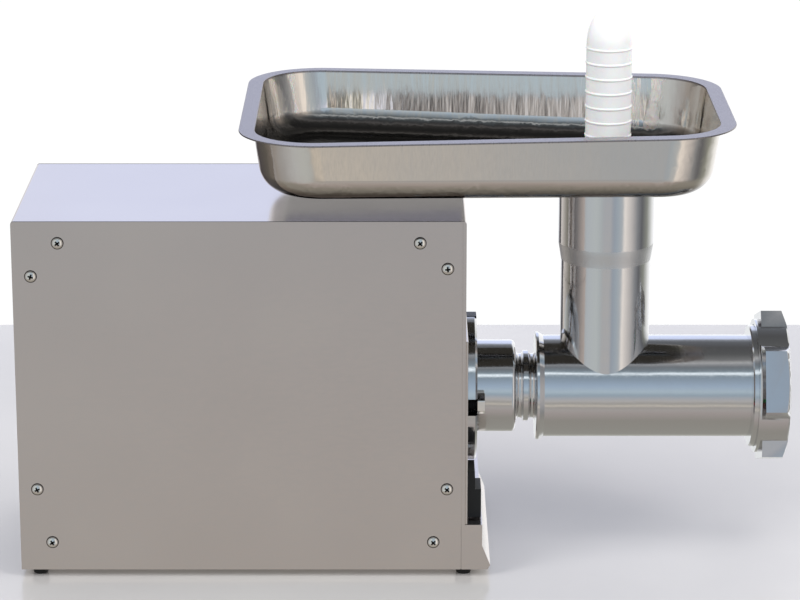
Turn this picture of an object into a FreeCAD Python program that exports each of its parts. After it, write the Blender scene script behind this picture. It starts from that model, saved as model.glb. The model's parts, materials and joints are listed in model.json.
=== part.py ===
import FreeCAD, Part
import math
import os
import re

import Sketcher
from FreeCAD import Placement, Rotation, Vector
from fcgear import fcgear, involute

# Electric meat grinder: a stainless casing with a geared motor drives a worm in a
# tinned cast head that carries a tray, a pusher, a knife, a plate and a ring nut.
# Millimetres. +X runs from the back of the casing to the ring nut, +Z is up, and
# the origin is under the middle of the whole machine, on the table.

SIZES = {
    # casing
    "casing_length": 350, "casing_width": 191, "casing_height": 283.6, "corner_radius": 2.2,
    "panel_wall": 1.5, "sheet_wall": 1.5, "flange_depth": 24, "lap": 0.8,
    "pan_height": 37.3, "apron_reach": 13.5, "toe_reach": 20, "toe_rise": 20, "toe_lip": 3.8,
    "screw_top_inset": 35.7, "screw_top_drop": 16.9, "screw_edge_inset": 14.4,
    "screw_rear_drop": 43.4, "screw_front_drop": 37.4, "screw_low_rise": 67,
    "screw_pan_inset": 25, "screw_pan_rise": 23, "side_screw_head": 8.6,
    "side_screw_crown": 2.2, "side_screw_shank": 3.9, "side_screw_reach": 7,
    "foot_height": 6, "foot_dia": 14, "foot_tip_dia": 11, "foot_inset": 14,
    "foot_side_inset": 11, "foot_screw_dia": 4, "foot_screw_head": 7,
    # front plate, hub and its fastenings
    "axis_height": 122.5, "front_plate": 1.8, "front_plate_height": 150,
    "disc_edge": 12, "disc_wall": 8.2, "disc_round": 1.6, "hub_wall": 8.5, "hub_length": 31.5,
    "hub_round": 3.6, "stud_stand": 11, "stud_dia": 13, "stud_tip": 8, "stud_reach": 16,
    "slot_width": 13.6, "nut_across": 15, "nut_height": 6.2,
    "clamp_width": 14, "clamp_sink": 4.2, "clamp_gap": 0.1,
    "knob_place": 24, "knob_angle": 15, "knob_dia": 28, "knob_length": 24,
    "knob_screw_dia": 10,
    # grinding head
    "neck_dia": 57, "neck_length": 16, "neck_depth": 38, "neck_groove": 2.6,
    "groove_half": 2.9,
    "rim_height": 2.5, "rim_wall": 5, "barrel_wall": 5, "barrel_length": 167,
    "barrel_bore": 72, "boss_wall": 8, "boss_length": 22, "seat_depth": 20,
    "seat_gap": 0.15, "throat_place": 50.5, "throat_wall": 5.65, "throat_flare": 2.35,
    "throat_bore": 60, "throat_step": 106.5, "throat_taper": 15, "bush_wall": 3,
    # worm, knife, plate and ring nut
    "worm_gap": 0.5, "worm_core": 30, "worm_pitch": 42, "journal_dia": 30, "washer_dia": 58,
    "washer_wall": 2, "square_across": 13, "pin_dia": 12, "tang_across": 19,
    "tang_length": 16, "knife_wall": 12, "knife_gap": 2, "seat_step": 5, "plate_wall": 8,
    "plate_hole": 5, "plate_proud": 2, "key_width": 5, "nut_lip": 5, "nut_hold": 3.5,
    "thread_gap": 0.3, "nut_wall": 4.45, "lug_height": 9.75, "nut_length": 24.5,
    "lug_setback": 4, "nut_chamfer": 4, "lug_count": 4, "lug_turn": 20, "lug_face": 45,
    "lug_base": 68,
    # tray and pusher
    "tray_stand": 17.4, "tray_depth": 53, "tray_fall": 5, "tray_wall": 1.2, "tray_rim": 11,
    "tray_back": 276.5, "tray_front": 84, "tray_back_half": 137, "tray_front_half": 104,
    "tray_corner": 48, "tray_fillet": 22, "tray_draft": 8, "collar_drop": 25,
    "collar_gap": 0.3, "pusher_dia": 36, "pusher_ridge": 0.8, "pusher_stand": 131,
    "pusher_ring_pitch": 11.65, "pusher_rings": 7, "pusher_dome": 29, "piston_gap": 3,
    "piston_height": 12, "pusher_gap": 1.5,
    # switch, gland and vents
    "switch_side": 67.7, "switch_width": 28, "switch_plate_wall": 7, "switch_rise": 1.4,
    "switch_height": 38.5, "shroud_height": 23.3, "shroud_reach": 11, "button_dia": 12,
    "button_gap": 0.25, "button_sink": 1.2, "button_stand": 1, "shroud_wall": 2.5, "gland_dia": 20,
    "gland_bore": 8, "gland_reach": 16, "gland_rise": 52, "gland_side": 55,
    "vent_count": 9, "vent_pitch": 11, "vent_width": 4, "vent_length": 70, "vent_rise": 150,
    # gearbox and motor
    "box_wall": 6, "box_front_wall": 24, "box_depth": 58.5, "cover_wall": 16,
    "box_room": 4, "box_lip": 7, "motor_rise": 78, "gear_gap": 0.2, "slow_module": 2.5, "slow_teeth": 42,
    "slow_pinion": 15, "slow_face": 24, "fast_module": 2, "fast_teeth": 32,
    "fast_pinion": 12, "fast_face": 16, "pressure_angle": 20, "output_dia": 35,
    "output_tail": 25, "mid_dia": 20, "mid_tail": 15, "motor_shaft": 17, "motor_nose": 12,
    "output_bearing": 62, "output_tail_bearing": 52, "mid_bearing": 42,
    "mid_tail_bearing": 35, "motor_bearing": 40, "bearing_width": 14, "tail_width": 12,
    "seal_width": 7, "running_gap": 0.05, "stator_dia": 130, "stator_bore": 68,
    "stator_length": 80, "rotor_gap": 0.4, "winding_length": 18, "winding_wall": 16,
    "bell_wall": 5, "bell_room": 4, "fan_dia": 104, "fan_wall": 14, "tie_circle": 116,
    "tie_dia": 5, "capacitor_dia": 38, "capacitor_length": 70,
    "capacitor_place": 70, "capacitor_side": 50, "clip_wall": 1.5,
}

# Places along the drive axis, measured from the front of the casing.
DISC_FRONT = "(front_plate + disc_wall)"
HUB_FRONT = f"({DISC_FRONT} + hub_length)"
HEAD_BACK = f"({HUB_FRONT} + neck_length)"
BARREL_BACK = f"({HEAD_BACK} + rim_wall)"
BOSS_BACK = f"({BARREL_BACK} + barrel_length)"
BOSS_FRONT = f"({BOSS_BACK} + boss_length)"
PLATE_FRONT = f"({BOSS_FRONT} + plate_proud)"
PLATE_BACK = f"({PLATE_FRONT} - plate_wall)"
NUT_FRONT = f"({PLATE_FRONT} + nut_lip)"
NUT_BACK = f"({NUT_FRONT} - nut_length)"
SEAT_BACK = f"({BOSS_FRONT} - seat_depth)"
NECK_BACK = f"({HUB_FRONT} - neck_depth)"
BORE_BACK = f"({BARREL_BACK} + washer_wall)"
THROAT_X = f"({BARREL_BACK} + throat_place)"
BOX_FRONT = "(-sheet_wall)"
BOX_BACK = f"({BOX_FRONT} - box_front_wall - box_depth)"
SLOW_GEAR_FRONT = f"({BOX_FRONT} - box_front_wall - 4)"
FAST_GEAR_FRONT = f"({SLOW_GEAR_FRONT} - slow_face - 4)"
MOTOR_FRONT = f"({BOX_BACK} - cover_wall)"
STATOR_FRONT = f"({MOTOR_FRONT} - bell_wall - winding_length - bell_room)"
STATOR_BACK = f"({STATOR_FRONT} - stator_length)"
MOTOR_BACK = f"({STATOR_BACK} - winding_length - bell_room - bell_wall)"

# Diameters that follow from the piece that each one holds or clears.
HUB_DIA = "(neck_dia + 2 * hub_wall)"
STUD_CIRCLE = f"({HUB_DIA} + 2 * stud_stand)"
DISC_DIA = f"({STUD_CIRCLE} + 2 * disc_edge)"
BARREL_DIA = "(barrel_bore + 2 * barrel_wall)"
RIM_DIA = f"({BARREL_DIA} + 2 * rim_height)"
PLATE_DIA = "(barrel_bore + 2 * seat_step)"
BOSS_DIA = f"({PLATE_DIA} + 2 * boss_wall)"
NUT_DIA = f"({BOSS_DIA} + 2 * thread_gap + 2 * nut_wall)"
LUG_DIA = f"({NUT_DIA} + 2 * lug_height)"
WORM_DIA = "(barrel_bore - 2 * worm_gap)"
THROAT_DIA = "(throat_bore + 2 * throat_wall)"
THROAT_TOP_DIA = f"({THROAT_DIA} + 2 * throat_flare)"
THROAT_HEIGHT = "(casing_height - axis_height + tray_stand)"
THROAT_TOP = f"({THROAT_HEIGHT} - 0.9)"

# Centre distances of the two gear pairs, and the place of the intermediate shaft.
SLOW_REACH = "(slow_module * (slow_teeth + slow_pinion) / 2 + gear_gap)"
FAST_REACH = "(fast_module * (fast_teeth + fast_pinion) / 2 + gear_gap)"
MID_RISE = f"(({SLOW_REACH}^2 + motor_rise^2 - {FAST_REACH}^2) / (2 * motor_rise))"
MID_SIDE = f"(-sqrt({SLOW_REACH}^2 - {MID_RISE}^2))"

AXIS_Z = "(foot_height + axis_height)"
SHIFT = f"((casing_length + {NUT_FRONT} - gland_reach) / 2)"
AT_CASE = (f"-{SHIFT}", "0", "foot_height")
AT_AXIS = (f"casing_length - {SHIFT}", "0", AXIS_Z)
AT_THROAT = (f"casing_length + {THROAT_X} - {SHIFT}", "0", AXIS_Z)
AT_MID = (f"casing_length - {SHIFT}", MID_SIDE, f"{AXIS_Z} + {MID_RISE}")
AT_MOTOR = (f"casing_length - {SHIFT}", "0", f"{AXIS_Z} + motor_rise")

doc = FreeCAD.newDocument("MeatGrinder")
sheet = doc.addObject("Spreadsheet::Sheet", "Sizes")
for row, (alias, value) in enumerate(SIZES.items(), 1):
    sheet.set(f"A{row}", str(value))
    sheet.setAlias(f"A{row}", alias)
doc.recompute()

nodes = []
WORD = re.compile(r"[a-z_]+")


def in_sheet(text):
    """Points every size name in a formula at the spreadsheet."""
    return WORD.sub(lambda m: "Sizes." + m[0] if m[0] in SIZES else m[0], text)


def bind(thing, prop, text):
    thing.setExpression(prop, in_sheet(text))


def value_of(text):
    """Works a formula out now, for the few shapes that are made by functions."""
    thing = doc.addObject("App::FeaturePython", "Formula")
    thing.addProperty("App::PropertyFloat", "Result")
    bind(thing, "Result", text)
    doc.recompute()
    result = thing.Result
    doc.removeObject(thing.Name)
    return result


def settle(thing, place, turn=None):
    thing.Placement = Placement(Vector(), turn or Rotation())
    for letter, text in zip("xyz", place):
        bind(thing, f"Placement.Base.{letter}", text)


def body(label, place, turn=None, kept=True):
    made = doc.addObject("PartDesign::Body", label)
    made.Label = label
    settle(made, place, turn)
    if kept:
        nodes.append(made)
    return made


def sketch(on, plane, offset="0"):
    made = on.newObject("Sketcher::SketchObject", "Sketch")
    origin = [f for f in on.Origin.OriginFeatures if f.Role == plane][0]
    made.AttachmentSupport = [(origin, "")]
    made.MapMode = "FlatFace"
    bind(made, "AttachmentOffset.Base.z", offset)
    return made


def pin(drawn, geometry, point, place):
    """Holds one point of a sketch at a place given by two formulas."""
    for kind, text in zip(("DistanceX", "DistanceY"), place):
        number = drawn.addConstraint(Sketcher.Constraint(kind, -1, 1, geometry, point, 1.0))
        bind(drawn, f"Constraints[{number}]", text)


def outline(drawn, points):
    """Draws a closed outline of straight lines through the points."""
    count = len(points)
    first = drawn.GeometryCount
    ring = [Vector(math.cos(2 * math.pi * n / count), math.sin(2 * math.pi * n / count), 0) * 50
            for n in range(count)]
    for n in range(count):
        drawn.addGeometry(Part.LineSegment(ring[n], ring[(n + 1) % count]), False)
    for n in range(count):
        joined = first + (n + 1) % count
        drawn.addConstraint(Sketcher.Constraint("Coincident", first + n, 2, joined, 1))
        pin(drawn, first + n, 1, points[n])
    return drawn


def rectangle(drawn, low, high):
    return outline(drawn, [low, (high[0], low[1]), high, (low[0], high[1])])


def circles(drawn, places, dia):
    for place in places:
        number = drawn.addGeometry(Part.Circle(Vector(), Vector(0, 0, 1), 5), False)
        pin(drawn, number, 3, place)
        size = drawn.addConstraint(Sketcher.Constraint("Diameter", number, 10.0))
        bind(drawn, f"Constraints[{size}]", dia)
    return drawn


def feature(on, kind, drawn, cuts=False):
    """Adds one PartDesign feature and keeps its volume check for the end."""
    made = on.newObject(f"PartDesign::{kind}", kind)
    made.Profile = drawn
    if cuts:
        cutters.append((made, on.Label))
    return made


cutters = []


def pad(on, drawn, length, middle=False, back=False):
    made = feature(on, "Pad", drawn)
    bind(made, "Length", length)
    made.Midplane = middle
    made.Reversed = back
    return made


def pocket(on, drawn, length, middle=False, back=False):
    made = feature(on, "Pocket", drawn, cuts=True)
    bind(made, "Length", length)
    made.Midplane = middle
    made.Reversed = back
    return made


def turned(on, points, axis="H_Axis", cuts=False, angle=360):
    """Turns an outline about the sketch's own axis, to add or to cut."""
    drawn = outline(sketch(on, "XZ_Plane"), points)
    made = feature(on, "Groove" if cuts else "Revolution", drawn, cuts)
    made.ReferenceAxis = (drawn, [axis])
    made.Angle = angle
    return made


def tube(on, start, end, outer, inner=None):
    """Turns a plain ring along X between two places, given its diameters."""
    low = f"({inner}) / 2" if inner else "0"
    return turned(on, [(start, low), (end, low), (end, f"({outer}) / 2"), (start, f"({outer}) / 2")])


def patterned(on, made, axis, count):
    pattern = on.newObject("PartDesign::PolarPattern", "Pattern")
    pattern.Originals = [made]
    pattern.Axis = axis
    pattern.Angle = 360
    bind(pattern, "Occurrences", count)
    on.Tip = pattern
    return pattern


def rounded(on, made, radius, test):
    """Rounds the edges of a feature that pass a test."""
    doc.recompute()
    edges = [f"Edge{n}" for n, edge in enumerate(made.Shape.Edges, 1) if test(edge)]
    fillet = on.newObject("PartDesign::Fillet", "Fillet")
    fillet.Base = (made, edges)
    bind(fillet, "Radius", radius)
    return fillet


def group(label, master, places):
    """Repeats one master solid as a node of separate solids, each at (place, turn)."""
    links = []
    for place, turn in places:
        link = doc.addObject("App::Link", f"{label}_link")
        link.LinkedObject = master
        link.LinkPlacement = Placement(Vector(), turn)
        for letter, text in zip("xyz", place):
            bind(link, f"LinkPlacement.Base.{letter}", text)
        links.append(link)
    made = doc.addObject("Part::Compound", label)
    made.Label = label
    made.Links = links
    nodes.append(made)
    return made


def shape_node(label, shape, place, turn=None):
    """A node whose shape is made by functions, with its place bound to the sheet."""
    made = doc.addObject("Part::Feature", label)
    made.Label = label
    made.Shape = shape
    settle(made, place, turn)
    nodes.append(made)
    return made


def runs_along(edge, direction, tolerance=1e-3):
    if len(edge.Vertexes) < 2:
        return False
    span = edge.Vertexes[1].Point - edge.Vertexes[0].Point
    return abs(abs(span.normalize() * direction) - 1) < tolerance


# Casing ------------------------------------------------------------------------

HALF_INSIDE = "(casing_width / 2 - panel_wall)"
SIDE_SCREWS = [
    ("screw_top_inset", "casing_height - screw_top_drop"),
    ("casing_length - screw_top_inset", "casing_height - screw_top_drop"),
    ("screw_edge_inset", "casing_height - screw_rear_drop"),
    ("casing_length - screw_edge_inset", "casing_height - screw_front_drop"),
    ("screw_edge_inset", "screw_low_rise"),
    ("casing_length - screw_edge_inset", "screw_low_rise"),
    ("screw_pan_inset", "screw_pan_rise"),
    ("casing_length - screw_pan_inset", "screw_pan_rise"),
]
STUDS = [(f"-{STUD_CIRCLE} / 2", "axis_height"), (f"{STUD_CIRCLE} / 2", "axis_height")]


def side_panel(label, outer_face):
    made = body(label, (AT_CASE[0], outer_face, AT_CASE[2]))
    plate = pad(made, rectangle(sketch(made, "XZ_Plane"), ("0", "0"),
                                ("casing_length", "casing_height")), "panel_wall")
    top = SIZES["casing_height"] / 2
    plate = rounded(made, plate, "corner_radius",
                    lambda e: runs_along(e, Vector(0, 1, 0)) and e.CenterOfMass.z > top)
    holes = circles(sketch(made, "XZ_Plane"), SIDE_SCREWS, "side_screw_shank + 0.4")
    pocket(made, holes, "panel_wall * 3", middle=True)


side_panel("side_panel_left", f"-{HALF_INSIDE}")
side_panel("side_panel_right", "casing_width / 2")


def wrap_cover():
    """One folded sheet makes the front, top and back, with flanges behind the panels."""
    made = body("wrap_cover", AT_CASE)
    far, top, wall = "casing_length", "casing_height", "sheet_wall"
    band = [("0", "pan_height"), ("0", top), (far, top), (far, "pan_height"),
            (f"{far} - {wall}", "pan_height"), (f"{far} - {wall}", f"{top} - {wall}"),
            (wall, f"{top} - {wall}"), (wall, "pan_height")]
    shell = pad(made, outline(sketch(made, "XZ_Plane"), band), f"2 * {HALF_INSIDE}", middle=True)
    outer_top = SIZES["casing_height"]
    inner_top = outer_top - SIZES["sheet_wall"]
    for height, radius in ((outer_top, "corner_radius"), (inner_top, "corner_radius - sheet_wall")):
        shell = rounded(made, shell, radius, lambda e: runs_along(e, Vector(0, 1, 0))
                        and abs(e.CenterOfMass.z - height) < 0.1)
    flange = [("lap", "pan_height"), ("lap", f"{top} - corner_radius"),
              ("corner_radius", f"{top} - lap"), (f"{far} - corner_radius", f"{top} - lap"),
              (f"{far} - lap", f"{top} - corner_radius"), (f"{far} - lap", "pan_height"),
              (f"{far} - flange_depth", "pan_height"),
              (f"{far} - flange_depth", f"{top} - flange_depth"),
              ("flange_depth", f"{top} - flange_depth"), ("flange_depth", "pan_height")]
    pad(made, outline(sketch(made, "XZ_Plane", HALF_INSIDE), flange), "sheet_wall", back=True)
    pad(made, outline(sketch(made, "XZ_Plane", f"-{HALF_INSIDE}"), flange), "sheet_wall")
    taps = circles(sketch(made, "XZ_Plane"), SIDE_SCREWS[:6], "side_screw_shank")
    pocket(made, taps, "casing_width * 2", middle=True)
    front = sketch(made, "YZ_Plane", "casing_length + 1")
    circles(front, [("0", "axis_height")], "neck_dia + 4")
    circles(front, STUDS, "stud_dia + 0.6")
    circles(front, switch_buttons("0"), "button_dia + 4")
    pocket(made, front, "sheet_wall + 2")
    back = sketch(made, "YZ_Plane", "-1")
    circles(back, [("gland_side", "gland_rise")], "gland_dia - 5 + 0.4")
    for n in range(int(SIZES["vent_count"])):
        left = f"({n} - (vent_count - 1) / 2) * vent_pitch - vent_width / 2"
        rectangle(back, (left, "vent_rise"), (f"{left} + vent_width", "vent_rise + vent_length"))
    pocket(made, back, "sheet_wall + 2", back=True)


def switch_buttons(from_middle):
    """Stop below and start above, on the switch's own centre line."""
    side = f"(-switch_side - ({from_middle}))"
    low = "pan_height + switch_rise"
    return [(side, f"{low} + shroud_height / 2"),
            (side, f"{low} + (switch_height + shroud_height) / 2")]


wrap_cover()


def base_pan():
    """Folded pan with its front carried forward as an apron with a flared toe."""
    made = body("base_pan", AT_CASE)
    far, wall = "casing_length", "sheet_wall"
    pad(made, rectangle(sketch(made, "XZ_Plane"), ("0", "0"), (far, "pan_height")),
        f"2 * {HALF_INSIDE}", middle=True)
    apron = [(far, "0"), (far, "pan_height"), (f"{far} + apron_reach", "pan_height"),
             (f"{far} + apron_reach", "toe_rise"), (f"{far} + toe_reach", "toe_lip"),
             (f"{far} + toe_reach - 2", "0")]
    pad(made, outline(sketch(made, "XZ_Plane"), apron), "casing_width", middle=True)
    inside = [(wall, wall), (wall, "pan_height + 1"), (f"{far} - {wall}", "pan_height + 1"),
              (f"{far} - {wall}", f"pan_height - {wall}"),
              (f"{far} + apron_reach - {wall}", f"pan_height - {wall}"),
              (f"{far} + apron_reach - {wall}", "toe_rise"),
              (f"{far} + toe_reach - {wall} - 1", f"toe_lip + {wall}"),
              (f"{far} + toe_reach - 6", wall)]
    pocket(made, outline(sketch(made, "XZ_Plane"), inside), f"2 * ({HALF_INSIDE} - {wall})",
           middle=True)
    taps = circles(sketch(made, "XZ_Plane"), SIDE_SCREWS[6:], "side_screw_shank")
    pocket(made, taps, "casing_width * 2", middle=True)
    floor = circles(sketch(made, "XY_Plane", "-1"), FEET, "foot_screw_dia + 0.4")
    pocket(made, floor, "sheet_wall + 2", back=True)


FEET = [(x, y) for x in ("foot_inset", "(casing_length - 1)")
        for y in ("-(casing_width / 2 - foot_side_inset)", "(casing_width / 2 - foot_side_inset)")]
base_pan()


def front_plate():
    """Flat stiffening plate that carries the hub and the switch."""
    made = body("front_plate", (AT_AXIS[0], "0", "foot_height"))
    face = sketch(made, "YZ_Plane")
    rectangle(face, ("-casing_width / 2 + 0.6", "pan_height"),
              ("casing_width / 2 - 0.6", "pan_height + front_plate_height"))
    circles(face, [("0", "axis_height")], "neck_dia + 4")
    circles(face, STUDS, "stud_dia + 0.6")
    circles(face, switch_buttons("0"), "button_dia + 4")
    pad(made, face, "front_plate")


front_plate()


def side_screws():
    """Pan-head screws with a cross recess, eight through each panel."""
    screw = body("side_screw", ("0", "0", "0"), kept=False)
    turned(screw, [("0", "0"), ("0", "side_screw_shank / 2"),
                   ("-side_screw_reach", "side_screw_shank / 2"), ("-side_screw_reach", "0")])
    turned(screw, [("0", "0"), ("0", "side_screw_head / 2"),
                   ("side_screw_crown * 0.45", "side_screw_head / 2"),
                   ("side_screw_crown * 0.85", "side_screw_head / 2 - 1"),
                   ("side_screw_crown", "side_screw_head / 2 - 2.2"), ("side_screw_crown", "0")])
    for half_width, half_height in (("0.55", "2.3"), ("2.3", "0.55")):
        recess = sketch(screw, "YZ_Plane", "side_screw_crown + 1")
        rectangle(recess, (f"-{half_width}", f"-{half_height}"), (half_width, half_height))
        pocket(screw, recess, "2.4")
    places = []
    for side, sign in ((-90, "-"), (90, "")):
        places += [((f"{x} - {SHIFT}", f"{sign}casing_width / 2", f"{z} + foot_height"),
                    Rotation(Vector(0, 0, 1), side)) for x, z in SIDE_SCREWS]
    group("side_screws", screw, places)


side_screws()


def feet():
    foot = body("foot", ("0", "0", "0"), kept=False)
    turned(foot, [("foot_screw_dia / 2 + 0.2", "0"), ("foot_dia / 2", "0"),
                  ("foot_tip_dia / 2", "-foot_height"), ("foot_screw_head / 2 + 0.3", "-foot_height"),
                  ("foot_screw_head / 2 + 0.3", "-foot_height / 2"),
                  ("foot_screw_dia / 2 + 0.2", "-foot_height / 2")], "V_Axis")
    screw = body("foot_screw", ("0", "0", "0"), kept=False)
    turned(screw, [("0", "-foot_height / 2"), ("0", "foot_height"),
                   ("foot_screw_dia / 2", "foot_height"), ("foot_screw_dia / 2", "-foot_height / 2")],
           "V_Axis")
    turned(screw, [("0", "-foot_height / 2"), ("0", "-foot_height / 2 - 1.8"),
                   ("foot_screw_head / 2 - 0.8", "-foot_height / 2 - 1.8"),
                   ("foot_screw_head / 2", "-foot_height / 2")], "V_Axis")
    nut = body("foot_nut", ("0", "0", "0"), kept=False)
    pad(nut, hexagon(sketch(nut, "XY_Plane", "sheet_wall"), "foot_screw_dia + 3"), "3")
    pocket(nut, circles(sketch(nut, "XY_Plane"), [("0", "0")], "foot_screw_dia"), "40", middle=True)
    places = [((f"{x} - {SHIFT}", y, "foot_height"), Rotation()) for x, y in FEET]
    group("feet", foot, places)
    group("foot_screws", screw, places)
    group("foot_nuts", nut, places)


def hexagon(drawn, across):
    reach = f"({across}) / sqrt(3)"
    corners = [(f"{reach} * cos({angle})", f"{reach} * sin({angle})")
               for angle in range(30, 390, 60)]
    return outline(drawn, corners)


feet()

# Hub and its fastenings -----------------------------------------------------------


HUB_NOSE = [(f"{HUB_FRONT} - hub_round * (1 - sin({angle}))",
             f"{HUB_DIA} / 2 - hub_round * (1 - cos({angle}))") for angle in range(0, 91, 15)]


def hub():
    """Turned hub, slotted for the two studs and notched for the two clamp blocks."""
    made = body("hub", AT_AXIS)
    bore = "neck_dia / 2 + running_gap"
    turned(made, [("front_plate", bore), ("front_plate", f"{DISC_DIA} / 2"),
                  (f"{DISC_FRONT} - disc_round", f"{DISC_DIA} / 2"),
                  (DISC_FRONT, f"{DISC_DIA} / 2 - disc_round"),
                  (DISC_FRONT, f"{HUB_DIA} / 2"), *HUB_NOSE, (HUB_FRONT, bore)])
    slots = sketch(made, "YZ_Plane", f"{DISC_FRONT} + 1")
    circles(slots, [(f"-{STUD_CIRCLE} / 2", "0"), (f"{STUD_CIRCLE} / 2", "0")], "slot_width")
    pocket(made, slots, "disc_wall + 2")
    for side in ("-", ""):
        mouth = sketch(made, "YZ_Plane", f"{DISC_FRONT} + 1")
        rectangle(mouth, (f"{side}{STUD_CIRCLE} / 2", "-slot_width / 2"),
                  (f"{side}({DISC_DIA} / 2 + 3)", "slot_width / 2"))
        pocket(made, mouth, "disc_wall + 2")
        notch = sketch(made, "YZ_Plane", f"{DISC_FRONT} + 1")
        rectangle(notch, ("-clamp_width / 2 - clamp_gap", f"{side}({DISC_DIA} / 2 - clamp_sink)"),
                  ("clamp_width / 2 + clamp_gap", f"{side}({DISC_DIA} / 2 + 3)"))
        pocket(made, notch, "disc_wall + 2")
    hole = sketch(made, "XZ_Plane")
    hole.AttachmentOffset = Placement(Vector(), Rotation(Vector(1, 0, 0), -SIZES["knob_angle"]))
    circles(hole, [(f"{DISC_FRONT} + knob_place", "0")], "knob_screw_dia + 2 * running_gap")
    pocket(made, hole, HUB_DIA)


hub()


def hub_fastenings():
    stud = body("hub_stud", ("0", "0", "0"), kept=False)
    tube(stud, "-sheet_wall - stud_reach", DISC_FRONT, "stud_dia")
    tube(stud, DISC_FRONT, f"{DISC_FRONT} + nut_height - 0.5", "stud_tip")
    nut = body("hub_nut", ("0", "0", "0"), kept=False)
    pad(nut, hexagon(sketch(nut, "YZ_Plane", DISC_FRONT), "nut_across"), "nut_height")
    bore = circles(sketch(nut, "YZ_Plane"), [("0", "0")], "stud_tip")
    pocket(nut, bore, "100", middle=True)
    places = [((AT_AXIS[0], f"{side}{STUD_CIRCLE} / 2", AXIS_Z), Rotation()) for side in ("-", "")]
    group("hub_studs", stud, places)
    group("hub_nuts", nut, places)
    clamp = body("rim_clamp", ("0", "0", "0"), kept=False)
    face = sketch(clamp, "YZ_Plane", "front_plate")
    rectangle(face, ("-clamp_width / 2", f"{DISC_DIA} / 2 - clamp_sink"),
              ("clamp_width / 2", f"{DISC_DIA} / 2"))
    pad(clamp, face, "disc_wall")
    group("rim_clamps", clamp, [((AT_AXIS[0], "0", AXIS_Z), Rotation()),
                                ((AT_AXIS[0], "0", AXIS_Z), Rotation(Vector(1, 0, 0), 180))])


hub_fastenings()

KNOB_TURN = Rotation(Vector(1, 0, 0), 90 - SIZES["knob_angle"] - 180)
AT_KNOB = (f"casing_length + {DISC_FRONT} + knob_place - {SHIFT}", "0", AXIS_Z)


def lock_knob():
    """Screw through the hub wall that bears on the neck of the head, and its knob."""
    screw = body("lock_screw", AT_KNOB, KNOB_TURN)
    tip = "neck_dia / 2 + 0.3"
    turned(screw, [("0", tip), ("knob_screw_dia / 2 - 1.5", tip),
                   ("knob_screw_dia / 2", f"{tip} + 1.5"),
                   ("knob_screw_dia / 2", f"{HUB_DIA} / 2 + knob_length - 8"),
                   ("0", f"{HUB_DIA} / 2 + knob_length - 8")], "V_Axis")
    knob = body("lock_knob", AT_KNOB, KNOB_TURN)
    base = f"{HUB_DIA} / 2 + 4"
    turned(knob, [("knob_screw_dia / 2", base), ("knob_dia / 2 - 6", base),
                         ("knob_dia / 2 - 4", f"{base} + 5"), ("knob_dia / 2", f"{base} + 8"),
                         ("knob_dia / 2", f"{base} + knob_length - 8"),
                         ("knob_dia / 2 - 3", f"{base} + knob_length - 5"),
                         ("0", f"{base} + knob_length - 5"),
                         ("0", f"{HUB_DIA} / 2 + knob_length - 8"),
                         ("knob_screw_dia / 2", f"{HUB_DIA} / 2 + knob_length - 8")], "V_Axis")
    notch = circles(sketch(knob, "XY_Plane", f"{base} + 5"), [("knob_dia / 2 + 2", "0")], "9")
    cut = pocket(knob, notch, "knob_length", back=True)
    patterned(knob, cut, (notch, ["N_Axis"]), "6")


lock_knob()

# Gearbox and motor ------------------------------------------------------------------

GEARS = {
    # name: module, teeth, face, front place, bore
    "output_gear": ("slow_module", "slow_teeth", "slow_face", SLOW_GEAR_FRONT, "output_dia"),
    "intermediate_pinion": ("slow_module", "slow_pinion", "slow_face", SLOW_GEAR_FRONT, "mid_dia"),
    "intermediate_gear": ("fast_module", "fast_teeth", "fast_face", FAST_GEAR_FRONT, "mid_dia"),
    "motor_pinion": ("fast_module", "fast_pinion", "fast_face", FAST_GEAR_FRONT, "motor_nose"),
}


def gear(label, place, towards, gap_first):
    """An involute spur gear; a tooth, or a gap, points from its shaft at another."""
    module, teeth, face, front, bore = [value_of(text) for text in GEARS[label]]
    wire = fcgear.FCWireBuilder()
    involute.CreateExternalGear(wire, module, int(teeth), SIZES["pressure_angle"], True)
    profile = Part.Wire([edge.toShape() for edge in wire.wire])
    blank = Part.Face([profile]).extrude(Vector(0, 0, face))
    solid = blank.cut(Part.makeCylinder(bore / 2, face))
    side, rise = towards
    turn = math.degrees(math.atan2(side, -rise))
    if gap_first:
        turn += 180 / teeth
    laid = Rotation(Vector(1, 0, 0), turn).multiply(Rotation(Vector(0, 1, 0), 90))
    place = (f"{place[0]} + {GEARS[label][3]} - {GEARS[label][2]}", place[1], place[2])
    shape_node(label, solid, place, laid)


def gears():
    side, rise = value_of(MID_SIDE), value_of(MID_RISE)
    up = value_of("motor_rise")
    gear("output_gear", AT_AXIS, (side, rise), False)
    gear("intermediate_pinion", AT_MID, (-side, -rise), True)
    gear("intermediate_gear", AT_MID, (-side, up - rise), False)
    gear("motor_pinion", AT_MOTOR, (side, rise - up), True)


gears()


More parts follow.
